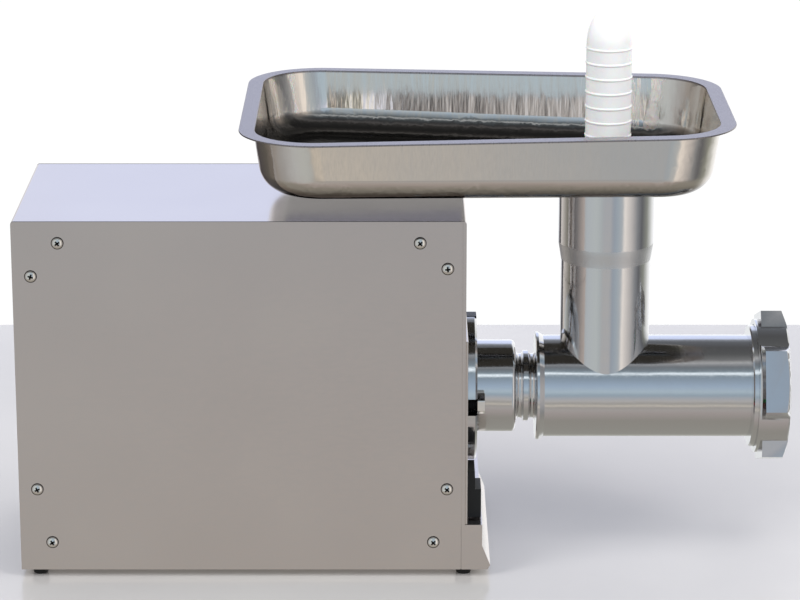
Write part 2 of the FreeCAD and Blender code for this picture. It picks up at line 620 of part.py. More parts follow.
def shafts():
    """The shafts step down where their gears and bearings seat."""
    output = body("output_shaft", AT_AXIS)
    tail_end = f"({BOX_BACK} - tail_width)"
    turned(output, [("0", "0"), ("0", "output_dia / 2"),
                    (f"{SLOW_GEAR_FRONT} - slow_face", "output_dia / 2"),
                    (f"{SLOW_GEAR_FRONT} - slow_face", "output_tail / 2"),
                    (tail_end, "output_tail / 2"), (tail_end, "0")])
    socket = sketch(output, "YZ_Plane", "1")
    half = "(tang_across / 2 + 0.3)"
    rectangle(socket, (f"-{half}", f"-{half}"), (half, half))
    pocket(output, socket, "tang_length + 3")
    mid = body("intermediate_shaft", AT_MID)
    front = f"({BOX_FRONT} - box_front_wall + bearing_width)"
    turned(mid, [(front, "0"), (front, "mid_dia / 2"),
                 (f"{FAST_GEAR_FRONT} - fast_face", "mid_dia / 2"),
                 (f"{FAST_GEAR_FRONT} - fast_face", "mid_tail / 2"),
                 (tail_end, "mid_tail / 2"), (tail_end, "0")])
    motor = body("motor_shaft", AT_MOTOR)
    nose = f"({FAST_GEAR_FRONT} + 4)"
    step = f"({FAST_GEAR_FRONT} - fast_face)"
    rear = f"({MOTOR_BACK} - fan_wall - 6)"
    turned(motor, [(nose, "0"), (nose, "motor_nose / 2"), (step, "motor_nose / 2"),
                   (step, "motor_shaft / 2"), (rear, "motor_shaft / 2"), (rear, "0")])


shafts()


def ball_bearing(label, place, front, width, outer, inner):
    """A bearing drawn as one ring, with grooves where its shields sit back."""
    made = body(label, place)
    back = f"({front} - {width})"
    low, high = f"({inner} / 2 + running_gap)", f"({outer} / 2)"
    rim = f"({high} - ({high} - {low}) * 0.25)"
    lip = f"({low} + ({high} - {low}) * 0.25)"
    turned(made, [(front, low), (front, lip), (f"{front} - 0.8", lip), (f"{front} - 0.8", rim),
                  (front, rim), (front, high), (back, high), (back, rim),
                  (f"{back} + 0.8", rim), (f"{back} + 0.8", lip), (back, lip), (back, low)])


FRONT_SEAT = f"({BOX_FRONT} - box_front_wall + bearing_width)"
ball_bearing("output_bearing_front", AT_AXIS, FRONT_SEAT, "bearing_width", "output_bearing",
             "output_dia")
ball_bearing("output_bearing_rear", AT_AXIS, BOX_BACK, "tail_width", "output_tail_bearing",
             "output_tail")
ball_bearing("intermediate_bearing_front", AT_MID, FRONT_SEAT, "bearing_width", "mid_bearing",
             "mid_dia")
ball_bearing("intermediate_bearing_rear", AT_MID, BOX_BACK, "tail_width", "mid_tail_bearing",
             "mid_tail")
ball_bearing("motor_bearing_front", AT_MOTOR, BOX_BACK, "tail_width", "motor_bearing",
             "motor_shaft")
ball_bearing("motor_bearing_rear", AT_MOTOR, f"({MOTOR_BACK} + tail_width)", "tail_width",
             "motor_bearing", "motor_shaft")


def oil_seal():
    made = body("oil_seal", AT_AXIS)
    front = f"({FRONT_SEAT} + seal_width)"
    tube(made, FRONT_SEAT, front, "output_bearing - 10", "output_dia + 2 * running_gap")


oil_seal()

BOX_ROUNDS = [(("0", "0"), "slow_module * (slow_teeth + 2) + 2 * box_room"),
              ((MID_SIDE, MID_RISE), "fast_module * (fast_teeth + 2) + 2 * box_room"),
              (("0", "motor_rise"), "motor_bearing + 4 + 2 * box_room")]


def box_outline(margin):
    """The faces that wrap three rounds, one about each shaft, as belts round pulleys."""
    rounds = [(Vector(0, value_of(y), value_of(z)), value_of(dia) / 2 + margin)
              for (y, z), dia in BOX_ROUNDS]
    faces = [Part.Face(Part.makePolygon([centre for centre, _ in rounds] + [rounds[0][0]]))]
    for n, (first, radius) in enumerate(rounds):
        other, far_radius = rounds[(n + 1) % 3]
        reach = other - first
        along = Vector(reach).normalize()
        across = along.cross(Vector(1, 0, 0))
        lean = (radius - far_radius) / reach.Length
        up = along * lean + across * math.sqrt(1 - lean ** 2)
        down = along * lean - across * math.sqrt(1 - lean ** 2)
        faces.append(Part.Face(Part.makePolygon([
            first + up * radius, other + up * far_radius, other + down * far_radius,
            first + down * radius, first + up * radius])))
        faces.append(Part.Face(Part.Wire(Part.makeCircle(radius, first, Vector(1, 0, 0)))))
    return faces


def slab(faces, front, back):
    start, end = value_of(front), value_of(back)
    blocks = []
    for face in faces:
        moved = face.copy()
        moved.translate(Vector(end, 0, 0))
        blocks.append(moved.extrude(Vector(start - end, 0, 0)))
    return blocks[0].multiFuse(blocks[1:]).removeSplitter()


def rod(dia, front, back, side="0", rise="0"):
    start, end = value_of(front), value_of(back)
    centre = Vector(end, value_of(side), value_of(rise))
    return Part.makeCylinder(value_of(dia) / 2, start - end, centre, Vector(1, 0, 0))


def gearbox():
    """Cast housing and cover with a bearing seat for each shaft end."""
    inner, outer = box_outline(0), box_outline(SIZES["box_wall"])
    lip = box_outline(SIZES["box_wall"] + SIZES["box_lip"])
    wall_back = f"({BOX_FRONT} - box_front_wall)"
    housing = slab(outer, BOX_FRONT, BOX_BACK).fuse(slab(lip, f"{BOX_BACK} + 8", BOX_BACK))
    housing = housing.cut(slab(inner, wall_back, f"{BOX_BACK} - 1"))
    seal_front = f"({FRONT_SEAT} + seal_width)"
    for cutter in (
            rod("output_bearing", FRONT_SEAT, f"{wall_back} - 1"),
            rod("output_bearing - 10", seal_front, FRONT_SEAT),
            rod("output_dia + 2", "1", seal_front),
            rod("mid_bearing", FRONT_SEAT, f"{wall_back} - 1", MID_SIDE, MID_RISE)):
        housing = housing.cut(cutter)
    for side in ("-", ""):
        housing = housing.cut(rod("stud_dia", "1", f"{BOX_FRONT} - stud_reach", f"{side}{STUD_CIRCLE} / 2"))
    cover = slab(lip, BOX_BACK, f"{BOX_BACK} - cover_wall")
    for cutter in (
            rod("output_tail_bearing", f"{BOX_BACK} + 1", f"{BOX_BACK} - tail_width"),
            rod("mid_tail_bearing", f"{BOX_BACK} + 1", f"{BOX_BACK} - tail_width",
                MID_SIDE, MID_RISE),
            rod("motor_bearing", f"{BOX_BACK} + 1", f"{BOX_BACK} - tail_width", "0", "motor_rise"),
            rod("motor_shaft + 1", f"{BOX_BACK} + 1", f"{BOX_BACK} - cover_wall - 1", "0",
                "motor_rise")):
        cover = cover.cut(cutter)
    screws = []
    for (y, z), dia in BOX_ROUNDS:
        centre = Vector(0, value_of(y), value_of(z))
        middle = Vector(0, value_of(MID_SIDE) / 3, value_of("motor_rise") / 2)
        away = (centre - middle).normalize()
        for lean in (-40, 40):
            spoke = Rotation(Vector(1, 0, 0), lean).multVec(away)
            at = centre + spoke * (value_of(dia) / 2 + SIZES["box_wall"] + SIZES["box_lip"] / 2)
            hole = Part.makeCylinder(2.5, 60, Vector(value_of(BOX_BACK) - 30, at.y, at.z),
                                     Vector(1, 0, 0))
            housing, cover = housing.cut(hole), cover.cut(hole)
            shank = Part.makeCylinder(2.5, 22, Vector(value_of(BOX_BACK) - 16, at.y, at.z),
                                      Vector(1, 0, 0))
            head = Part.makeCylinder(4.2, 4, Vector(value_of(MOTOR_FRONT), at.y, at.z),
                                     Vector(1, 0, 0))
            cover = cover.cut(head)
            screws.append(shank.fuse(head).removeSplitter())
    shape_node("gearbox_housing", housing.removeSplitter(), AT_AXIS)
    shape_node("gearbox_cover", cover.removeSplitter(), AT_AXIS)
    shape_node("gearbox_screws", Part.makeCompound(screws), AT_AXIS)


gearbox()


def motor():
    """Induction motor on the gearbox cover: bells, stack, windings, rotor and fan."""
    outer, wall = "stator_dia", "bell_wall"
    front = body("motor_bell_front", AT_MOTOR)
    skirt = "winding_length + bell_room"
    turned(front, [(MOTOR_FRONT, "motor_shaft / 2 + 2"), (MOTOR_FRONT, f"{outer} / 2"),
                   (f"{MOTOR_FRONT} - {wall} - {skirt}", f"{outer} / 2"),
                   (f"{MOTOR_FRONT} - {wall} - {skirt}", f"{outer} / 2 - {wall}"),
                   (f"{MOTOR_FRONT} - {wall}", f"{outer} / 2 - {wall}"),
                   (f"{MOTOR_FRONT} - {wall}", "motor_shaft / 2 + 2")])
    rear = body("motor_bell_rear", AT_MOTOR)
    seat = f"({MOTOR_BACK} + tail_width)"
    turned(rear, [(MOTOR_BACK, "motor_bearing / 2"), (MOTOR_BACK, f"{outer} / 2"),
                  (f"{MOTOR_BACK} + {wall} + {skirt}", f"{outer} / 2"),
                  (f"{MOTOR_BACK} + {wall} + {skirt}", f"{outer} / 2 - {wall}"),
                  (f"{MOTOR_BACK} + {wall}", f"{outer} / 2 - {wall}"),
                  (f"{MOTOR_BACK} + {wall}", f"motor_bearing / 2 + {wall}"),
                  (seat, f"motor_bearing / 2 + {wall}"), (seat, "motor_bearing / 2")])
    tube(body("stator_stack", AT_MOTOR), STATOR_BACK, STATOR_FRONT, outer, "stator_bore")
    coil = body("winding", ("0", "0", "0"), kept=False)
    low = "stator_bore / 2 + 4"
    turned(coil, [("0", low), ("winding_length", f"{low} + 2"),
                  ("winding_length", f"{low} + winding_wall - 3"), ("0", f"{low} + winding_wall")])
    group("stator_windings", coil, [
        ((f"{AT_MOTOR[0]} + {STATOR_FRONT}", "0", AT_MOTOR[2]), Rotation()),
        ((f"{AT_MOTOR[0]} + {STATOR_BACK}", "0", AT_MOTOR[2]), Rotation(Vector(0, 0, 1), 180))])
    rotor = body("rotor_core", AT_MOTOR)
    rotor_dia = "stator_bore - 2 * rotor_gap"
    turned(rotor, [(STATOR_BACK, "motor_shaft / 2"), (STATOR_BACK, f"({rotor_dia}) / 2"),
                   (STATOR_FRONT, f"({rotor_dia}) / 2"), (STATOR_FRONT, "motor_shaft / 2")])
    fan = body("cooling_fan", AT_MOTOR)
    fan_front, fan_back = f"({MOTOR_BACK} - 4)", f"({MOTOR_BACK} - 4 - fan_wall)"
    turned(fan, [(fan_front, "motor_shaft / 2"), (fan_front, "fan_dia / 2"),
                 (f"{fan_front} - 2", "fan_dia / 2"), (f"{fan_front} - 2", "motor_shaft / 2 + 6"),
                 (fan_back, "motor_shaft / 2 + 6"), (fan_back, "motor_shaft / 2")])
    blade = rectangle(sketch(fan, "YZ_Plane", fan_back), ("motor_shaft / 2 + 5", "-1"),
                      ("fan_dia / 2 - 2", "1"))
    patterned(fan, pad(fan, blade, "fan_wall"), (blade, ["N_Axis"]), "8")
    bolt = body("tie_bolt", ("0", "0", "0"), kept=False)
    tube(bolt, f"{MOTOR_BACK} - 3", MOTOR_FRONT, "tie_dia")
    ties = []
    for n in range(4):
        across = f"tie_circle / 2 * cos({45 + 90 * n})"
        rise = f"{AT_MOTOR[2]} + tie_circle / 2 * sin({45 + 90 * n})"
        ties.append(((AT_MOTOR[0], across, rise), Rotation()))
    group("motor_tie_bolts", bolt, ties)
    for label, drilled in (("motor_bell_front", front), ("motor_bell_rear", rear),
                           ("stator_stack", doc.getObject("stator_stack"))):
        holes = circles(sketch(drilled, "YZ_Plane"), [
            (f"tie_circle / 2 * cos({45 + 90 * n})", f"tie_circle / 2 * sin({45 + 90 * n})")
            for n in range(4)], "tie_dia + 0.2")
        pocket(drilled, holes, "2 * casing_length", middle=True)


motor()


def electrical():
    """Run capacitor, terminal block and the cable gland in the back wall."""
    can_at = (f"capacitor_place - {SHIFT}", "-capacitor_side",
              "foot_height + sheet_wall + clip_wall + capacitor_dia / 2")
    can = body("run_capacitor", can_at)
    tube(can, "0", "capacitor_length", "capacitor_dia")
    tube(can, "-6", "0", "capacitor_dia - 10")
    clip = body("capacitor_clip", can_at)
    tube(clip, "25", "40", "capacitor_dia + 2 * clip_wall", "capacitor_dia + 0.1")
    strap = rectangle(sketch(clip, "XY_Plane", "-capacitor_dia / 2 - clip_wall"),
                      ("25", "-capacitor_dia / 2 - 12"), ("40", "capacitor_dia / 2 + 12"))
    pad(clip, strap, "clip_wall")
    clear = circles(sketch(clip, "YZ_Plane"), [("0", "0")], "capacitor_dia + 0.1")
    pocket(clip, clear, "200", middle=True)
    block = body("terminal_block", (f"40 - {SHIFT}", "gland_side - 20", "foot_height + sheet_wall"))
    pad(block, rectangle(sketch(block, "XY_Plane"), ("0", "-20"), ("18", "20")), "14")
    pad(block, rectangle(sketch(block, "XY_Plane"), ("4", "-20"), ("14", "20")), "20")
    wells = circles(sketch(block, "XY_Plane", "21"), [("9", f"{y}") for y in (-15, -5, 5, 15)], "5")
    pocket(block, wells, "10")
    gland_at = (f"-{SHIFT}", "gland_side", "foot_height + gland_rise")
    gland = body("cable_gland", gland_at)
    turned(gland, [("12", "gland_bore / 2"), ("12", "gland_dia / 2 - 2.5"),
                   ("0", "gland_dia / 2 - 2.5"), ("0", "gland_dia / 2 + 1"),
                   ("-5", "gland_dia / 2 + 1"), ("-5", "gland_dia / 2 - 1"),
                   ("-gland_reach + 4", "gland_dia / 2 - 1"), ("-gland_reach", "gland_dia / 2 - 4"),
                   ("-gland_reach", "gland_bore / 2")])
    ring = body("gland_nut", gland_at)
    pad(ring, hexagon(sketch(ring, "YZ_Plane", "sheet_wall"), "gland_dia + 2"), "5")
    hole = circles(sketch(ring, "YZ_Plane"), [("0", "0")], "gland_dia - 5")
    pocket(ring, hole, "60", middle=True)


electrical()


def switch():
    """Moulded switch body with a shrouded stop button under a flush start button."""
    place = (AT_AXIS[0], "-switch_side", "foot_height + pan_height + switch_rise")
    housing = body("switch_housing", place)
    half = "switch_width / 2"
    front = "(front_plate + switch_plate_wall)"
    plate = outline(sketch(housing, "XZ_Plane"), [
        ("front_plate", "0"), (front, "0"), (f"{front} - 1", "switch_height"),
        ("front_plate + 1", "switch_height"), ("front_plate", "switch_height - 4")])
    pad(housing, plate, "switch_width", middle=True)
    rim = rectangle(sketch(housing, "YZ_Plane", "front_plate"), (f"-{half}", "0"),
                    (half, "shroud_height"))
    pad(housing, rim, "shroud_reach")
    inside = rectangle(sketch(housing, "YZ_Plane", "front_plate + shroud_reach + 1"),
                       (f"-{half} + shroud_wall", "shroud_wall"),
                       (f"{half} - shroud_wall", "shroud_height - shroud_wall"))
    pocket(housing, inside, "shroud_reach - switch_plate_wall + 3")
    centres = [("0", "shroud_height / 2"), ("0", "(switch_height + shroud_height) / 2")]
    holes = circles(sketch(housing, "YZ_Plane", "front_plate + shroud_reach + 1"), centres,
                    "button_dia + 2 * button_gap")
    pocket(housing, holes, "shroud_reach + 8")
    for label, (side, rise), face in (("stop_button", centres[0], f"({front} + button_stand)"),
                                      ("start_button", centres[1], f"({front} - button_sink)")):
        button = body(label, (place[0], place[1], f"{place[2]} + {rise}"))
        turned(button, [("front_plate - 5", "0"), (face, "0"), (face, "button_dia / 2 - 1"),
                        (f"{face} - 1", "button_dia / 2"), ("front_plate - 5", "button_dia / 2")])


switch()

# Grinding head ---------------------------------------------------------------------


def neck_groove(middle):
    """A round groove in the outline of the neck."""
    return [(f"{middle} - groove_half * cos({angle})", f"neck_dia / 2 - neck_groove * sin({angle})")
            for angle in range(0, 181, 20)]


def head_body():
    """Cast and tinned head: neck, rim, barrel, threaded boss and feed throat."""
    made = body("head_body", AT_AXIS)
    bush = "journal_dia / 2 + bush_wall"
    turned(made, [
        (NECK_BACK, bush), (NECK_BACK, "neck_dia / 2 - 1.5"),
        (f"{NECK_BACK} + 1.5", "neck_dia / 2"), *neck_groove(f"{HUB_FRONT} + 3.4"),
        *neck_groove(f"{HEAD_BACK} - groove_half"),
        (HEAD_BACK, f"{RIM_DIA} / 2 - 0.6"), (f"{HEAD_BACK} + 0.6", f"{RIM_DIA} / 2"),
        (f"{HEAD_BACK} + 2.6", f"{RIM_DIA} / 2"),
        (f"{BARREL_BACK} + 1.4", f"{BARREL_DIA} / 2"),
        (BOSS_BACK, f"{BARREL_DIA} / 2"), (BOSS_BACK, f"{BOSS_DIA} / 2 - 1"),
        (f"{BOSS_BACK} + 1", f"{BOSS_DIA} / 2"), (f"{BOSS_FRONT} - 1", f"{BOSS_DIA} / 2"),
        (BOSS_FRONT, f"{BOSS_DIA} / 2 - 1"), (BOSS_FRONT, f"{PLATE_DIA} / 2 + seat_gap"),
        (SEAT_BACK, f"{PLATE_DIA} / 2 + seat_gap"), (SEAT_BACK, "barrel_bore / 2"),
        (BARREL_BACK, "barrel_bore / 2"), (BARREL_BACK, bush)])
    throat = circles(sketch(made, "XY_Plane"), [(THROAT_X, "0")], THROAT_DIA)
    pad(made, throat, "throat_step")
    crown = outline(sketch(made, "XZ_Plane"), [
        (THROAT_X, "throat_step"), (f"{THROAT_X} + {THROAT_DIA} / 2", "throat_step"),
        (f"{THROAT_X} + {THROAT_TOP_DIA} / 2", "throat_step + throat_taper"),
        (f"{THROAT_X} + {THROAT_TOP_DIA} / 2", THROAT_TOP), (THROAT_X, THROAT_TOP)])
    lathe = made.newObject("PartDesign::Line", "ThroatAxis")
    bind(lathe, "Placement.Base.x", THROAT_X)
    top = feature(made, "Revolution", crown)
    top.ReferenceAxis = (lathe, [""])
    top.Angle = 360
    feed = circles(sketch(made, "XY_Plane", f"{THROAT_HEIGHT} + 5"), [(THROAT_X, "0")], "throat_bore")
    pocket(made, feed, f"{THROAT_HEIGHT} + 5")
    barrel = circles(sketch(made, "YZ_Plane", BARREL_BACK), [("0", "0")], "barrel_bore")
    pocket(made, barrel, f"{SEAT_BACK} - {BARREL_BACK}", back=True)
    key = circles(sketch(made, "YZ_Plane", f"{BOSS_FRONT} + 1"), [("0", f"-{PLATE_DIA} / 2 - seat_gap")],
                  "key_width")
    pocket(made, key, "plate_wall + plate_proud + 1")


head_body()


def head_bush():
    made = body("head_bush", AT_AXIS)
    tube(made, NECK_BACK, BARREL_BACK, "journal_dia + 2 * bush_wall",
         "journal_dia + 2 * running_gap")


head_bush()


def plate_key():
    """Pin in the rim of the seat that stops the plate from turning."""
    made = body("plate_key", AT_AXIS)
    pin_at = circles(sketch(made, "YZ_Plane", f"{PLATE_BACK} + 0.5"),
                     [("0", f"-{PLATE_DIA} / 2 - seat_gap")], "key_width")
    pad(made, pin_at, f"{BOSS_FRONT} - {PLATE_BACK} - 1")


plate_key()


def worm():
    """Cast feed worm with a journal and drive tang behind and a square in front."""
    made = body("worm", AT_AXIS)
    start, end = BORE_BACK, f"({PLATE_BACK} - knife_wall - 1)"
    tail = f"({NECK_BACK} + 1)"
    square_end = f"({PLATE_BACK} - 0.2)"
    turned(made, [(tail, "0"), (tail, "journal_dia / 2"), (start, "journal_dia / 2"),
                  (start, "washer_dia / 2"), (f"{start} + 4", "washer_dia / 2"),
                  (f"{start} + 6", "worm_core / 2"), (end, "worm_core / 2 - 1"), (end, "0")])
    half = "square_across / 2"
    square = rectangle(sketch(made, "YZ_Plane", f"{end} - 1"), (f"-{half}", f"-{half}"), (half, half))
    pad(made, square, f"{square_end} - {end} + 1")
    pin_face = circles(sketch(made, "YZ_Plane", f"{square_end} - 1"), [("0", "0")],
                       "pin_dia - 2 * running_gap")
    pad(made, pin_face, "plate_wall - 1")
    half = "tang_across / 2"
    tang = rectangle(sketch(made, "YZ_Plane", f"{tail} + 1"), (f"-{half}", f"-{half}"), (half, half))
    pad(made, tang, "tang_length + 4", back=True)
    tooth = outline(sketch(made, "XZ_Plane"), [
        (f"{start} + 3", "worm_core / 2 - 2"), (f"{start} + 13", "worm_core / 2 - 2"),
        (f"{start} + 9.5", f"{WORM_DIA} / 2"), (f"{start} + 4.5", f"{WORM_DIA} / 2")])
    flight = made.newObject("PartDesign::AdditiveHelix", "Flight")
    flight.Profile = tooth
    flight.ReferenceAxis = (tooth, ["H_Axis"])
    flight.Mode = "pitch-height-angle"
    bind(flight, "Pitch", "worm_pitch")
    bind(flight, "Height", f"{end} - {start} - 14")
    flight.LeftHanded = False


worm()


def thrust_washer():
    made = body("thrust_washer", AT_AXIS)
    tube(made, f"{BARREL_BACK} + 0.1", f"{BORE_BACK} - 0.1", "washer_dia",
         "journal_dia + 2 * running_gap")


thrust_washer()


def knife():
    """Four-bladed knife on the worm's square, sharp side against the plate."""
    made = body("knife", AT_AXIS)
    back, front = f"({PLATE_BACK} - knife_wall)", f"({PLATE_BACK} - 0.3)"
    tube(made, back, front, "30")
    blade = outline(sketch(made, "XZ_Plane", "0"), [
        (f"{front} - 5", "10"), (front, "10"), (front, f"{PLATE_DIA} / 2 - knife_gap"),
        (f"{front} - 4", f"{PLATE_DIA} / 2 - knife_gap")])
    arm = pad(made, blade, "9", middle=True)
    axis = [f for f in made.Origin.OriginFeatures if f.Role == "X_Axis"][0]
    patterned(made, arm, (axis, [""]), "4")
    half = "square_across / 2 + running_gap"
    square = rectangle(sketch(made, "YZ_Plane"), (f"-({half})", f"-({half})"), (half, half))
    pocket(made, square, "4 * casing_length", middle=True)


knife()


def grinding_plate():
    """Hardened plate with rings of holes, keyed at its edge."""
    made = body("grinding_plate", AT_AXIS)
    face = circles(sketch(made, "YZ_Plane", PLATE_BACK), [("0", "0")], f"{PLATE_DIA} - 0.1")
    pad(made, face, "plate_wall")
    centre = circles(sketch(made, "YZ_Plane"), [("0", "0")], "pin_dia")
    pocket(made, centre, "4 * casing_length", middle=True)
    holes = sketch(made, "YZ_Plane")
    places = []
    for ring in range(1, 5):
        reach = 5.4 + 6.9 * ring
        count = int(2 * math.pi * reach / 7.2)
        for n in range(count):
            angle = 360 * (n + 0.5) / count
            places.append((f"{reach} * cos({angle})", f"{reach} * sin({angle})"))
    circles(holes, places, "plate_hole")
    pocket(made, holes, "4 * casing_length", middle=True)
    key = circles(sketch(made, "YZ_Plane"), [("0", f"-{PLATE_DIA} / 2 - seat_gap")], "key_width + 0.8")
    pocket(made, key, "4 * casing_length", middle=True)


grinding_plate()


def ring_nut():
    """Ring nut with four lugs, bored to clear the boss and lipped to hold the plate."""
    made = body("ring_nut", AT_AXIS, Rotation(Vector(-1, 0, 0), SIZES["lug_turn"]))
    bore = f"{BOSS_DIA} / 2 + thread_gap"
    window = f"({PLATE_DIA} / 2 - nut_hold)"
    turned(made, [(NUT_BACK, bore), (NUT_BACK, f"{NUT_DIA} / 2"),
                  (f"{NUT_FRONT} - 1", f"{NUT_DIA} / 2"), (NUT_FRONT, f"{NUT_DIA} / 2 - 1"),
                  (NUT_FRONT, f"{window} + 2"), (f"{NUT_FRONT} - 2", window),
                  (f"{PLATE_FRONT} + 0.1", window), (f"{PLATE_FRONT} + 0.1", bore)])
    lug = outline(sketch(made, "YZ_Plane", f"{NUT_BACK} + lug_setback"), lug_corners())
    made_lug = pad(made, lug, "nut_length - lug_setback")
    patterned(made, made_lug, (lug, ["N_Axis"]), "lug_count")
    turned(made, [(f"{NUT_FRONT} - nut_chamfer", f"{LUG_DIA} / 2"),
                  (f"{NUT_FRONT} - nut_chamfer", f"{LUG_DIA} / 2 + 5"),
                  (f"{NUT_FRONT} + 1", f"{LUG_DIA} / 2 + 5"),
                  (f"{NUT_FRONT} + 1", f"{NUT_DIA} / 2"), (NUT_FRONT, f"{NUT_DIA} / 2")],
           cuts=True)


def lug_corners():
    """A lug's outline: wide at its root, with a flat face whose ends reach the lug circle."""
    root, tip = f"({NUT_DIA} / 2 - 1.5)", f"({LUG_DIA} / 2)"
    steps = [(f"lug_face * {n / 8}", tip) for n in (4, -4)]
    steps += [(f"lug_base * {n / 8}", root) for n in (-4, -2, 0, 2, 4)]
    return [(f"-{radius} * cos({angle})", f"{radius} * sin({angle})") for angle, radius in steps]


ring_nut()

# Tray and pusher --------------------------------------------------------------------

TRAY_FLOOR = f"({THROAT_HEIGHT})"
TRAY_TOP = f"({TRAY_FLOOR} + tray_depth)"


def tray_solid(label, inset):
    """A drafted blank: its sides draw in, and its floor falls, towards the throat."""
    made = body(label, AT_THROAT, kept=False)
    blank = outline(sketch(made, "XY_Plane", TRAY_TOP), [
        (f"-tray_back + {inset}", f"-tray_back_half + {inset}"),
        (f"tray_front - {inset}", f"-tray_front_half + {inset}"),
        (f"tray_front - {inset}", f"tray_front_half - {inset}"),
        (f"-tray_back + {inset}", f"tray_back_half - {inset}")])
    block = pad(made, blank, "tray_depth + tray_fall", back=True)
    bind(block, "TaperAngle", "-tray_draft")
    floor, slope = f"({TRAY_FLOOR} + {inset})", "(tray_fall / tray_back)"
    ends = ("(-2 * tray_back)", "(2 * tray_front)")
    under = [(ends[0], "0"), (ends[0], f"{floor} - {slope} * {ends[0]}"),
             (ends[1], f"{floor} - {slope} * {ends[1]}"), (ends[1], "0")]
    block = pocket(made, outline(sketch(made, "XZ_Plane"), under), "4 * tray_back", middle=True)
    block = rounded(made, block, f"tray_corner - {inset}",
                    lambda e: len(e.Vertexes) == 2 and e.BoundBox.ZLength > 20)
    floor_now, slope_now = value_of(floor), value_of(slope)
    on_floor = lambda p: abs(p.Point.z - floor_now + slope_now * p.Point.x) < 0.01
    rounded(made, block, f"tray_fillet - {inset}",
            lambda e: len(e.Vertexes) == 2 and all(on_floor(p) for p in e.Vertexes))
    return made


def tray():
    """Pressed and polished pan with a flat rim and a collar that drops in the throat."""
    outer, inner = tray_solid("tray_blank", "0"), tray_solid("tray_room", "tray_wall")
    rim = body("tray_flange", AT_THROAT, kept=False)
    plate = pad(rim, outline(sketch(rim, "XY_Plane", f"{TRAY_TOP} - tray_wall"), [
        ("-tray_back - tray_rim", "-tray_back_half - tray_rim"),
        ("tray_front + tray_rim", "-tray_front_half - tray_rim"),
        ("tray_front + tray_rim", "tray_front_half + tray_rim"),
        ("-tray_back - tray_rim", "tray_back_half + tray_rim")]), "tray_wall")
    rounded(rim, plate, "tray_corner + tray_rim", lambda e: runs_along(e, Vector(0, 0, 1)))
    collar = body("tray_collar", AT_THROAT, kept=False)
    dia = "(throat_bore / 2 - collar_gap)"
    turned(collar, [(f"{dia} - tray_wall", f"{TRAY_FLOOR} - collar_drop"),
                    (dia, f"{TRAY_FLOOR} - collar_drop"), (dia, f"{TRAY_FLOOR} + tray_wall"),
                    (f"{dia} - tray_wall", f"{TRAY_FLOOR} + tray_wall")], "V_Axis")
    hole = doc.addObject("Part::Cylinder", "TrayHole")
    bind(hole, "Radius", f"{dia} - tray_wall")
    bind(hole, "Height", "tray_depth")
    settle(hole, (AT_THROAT[0], "0", f"{AT_THROAT[2]} + {TRAY_FLOOR} - tray_depth / 2"))
    joined = doc.addObject("Part::MultiFuse", "TrayMetal")
    joined.Shapes = [outer, rim, collar]
    room = doc.addObject("Part::Cut", "TrayHollow")
    room.Base, room.Tool = joined, inner
    made = doc.addObject("Part::Cut", "tray")
    made.Base, made.Tool = room, hole
    made.Label = "tray"
    nodes.append(made)


tray()


def pusher():
    """Moulded pusher: ringed shaft with a domed top and a flat piston below."""
    made = body("pusher", AT_THROAT)
    bottom = f"({WORM_DIA} / 2 + pusher_gap)"
    top = f"({THROAT_HEIGHT} + pusher_stand)"
    shoulder = f"({top} - pusher_dome)"
    piston = "(throat_bore / 2 - piston_gap)"
    radius, dome = "pusher_dia / 2", "pusher_dome"
    side = [("0", bottom), (piston, bottom), (piston, f"{bottom} + piston_height"),
            (radius, f"{bottom} + piston_height + 6")]
    ring_low = f"{shoulder} - 2.65 - pusher_ring_pitch * (pusher_rings - 1)"
    for n in range(int(SIZES["pusher_rings"])):
        centre = f"({ring_low} + pusher_ring_pitch * {n})"
        side += [(radius, f"{centre} - 1.2"), (f"{radius} + pusher_ridge", f"{centre} - 0.5"),
                 (f"{radius} + pusher_ridge", f"{centre} + 0.5"), (radius, f"{centre} + 1.2")]
    side += [(f"{radius} * cos({angle})", f"{shoulder} + {dome} * sin({angle})")
             for angle in (0, 15, 30, 45, 60, 75)]
    side += [("0", top)]
    turned(made, side, "V_Axis")


pusher()

# Checks and export --------------------------------------------------------------------

doc.recompute()
faults = [f"{thing.Label} did not build: {thing.State}" for thing in doc.Objects
          if "Invalid" in thing.State or "Error" in thing.State]
faults += [f"{cutter.Label} in {owner} cuts nothing" for cutter, owner in cutters
           if cutter.BaseFeature.Shape.Volume - cutter.Shape.Volume < 0.01]
faults += [f"{made.Label} has a bad shape" for made in nodes
           if made.Shape.isNull() or not made.Shape.isValid()]
if faults:
    raise RuntimeError("; ".join(faults))
os.makedirs("parts", exist_ok=True)
for made in nodes:
    made.Shape.exportStep(f"parts/{made.Label}.step")
    box = made.Shape.BoundBox
    print(f"{made.Label:28s} solids {len(made.Shape.Solids):3d}  x {box.XMin:7.1f} {box.XMax:7.1f}"
          f"  y {box.YMin:7.1f} {box.YMax:7.1f}  z {box.ZMin:7.1f} {box.ZMax:7.1f}")
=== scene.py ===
import json
import math

import bmesh
import bpy
from mathutils import Matrix, Vector

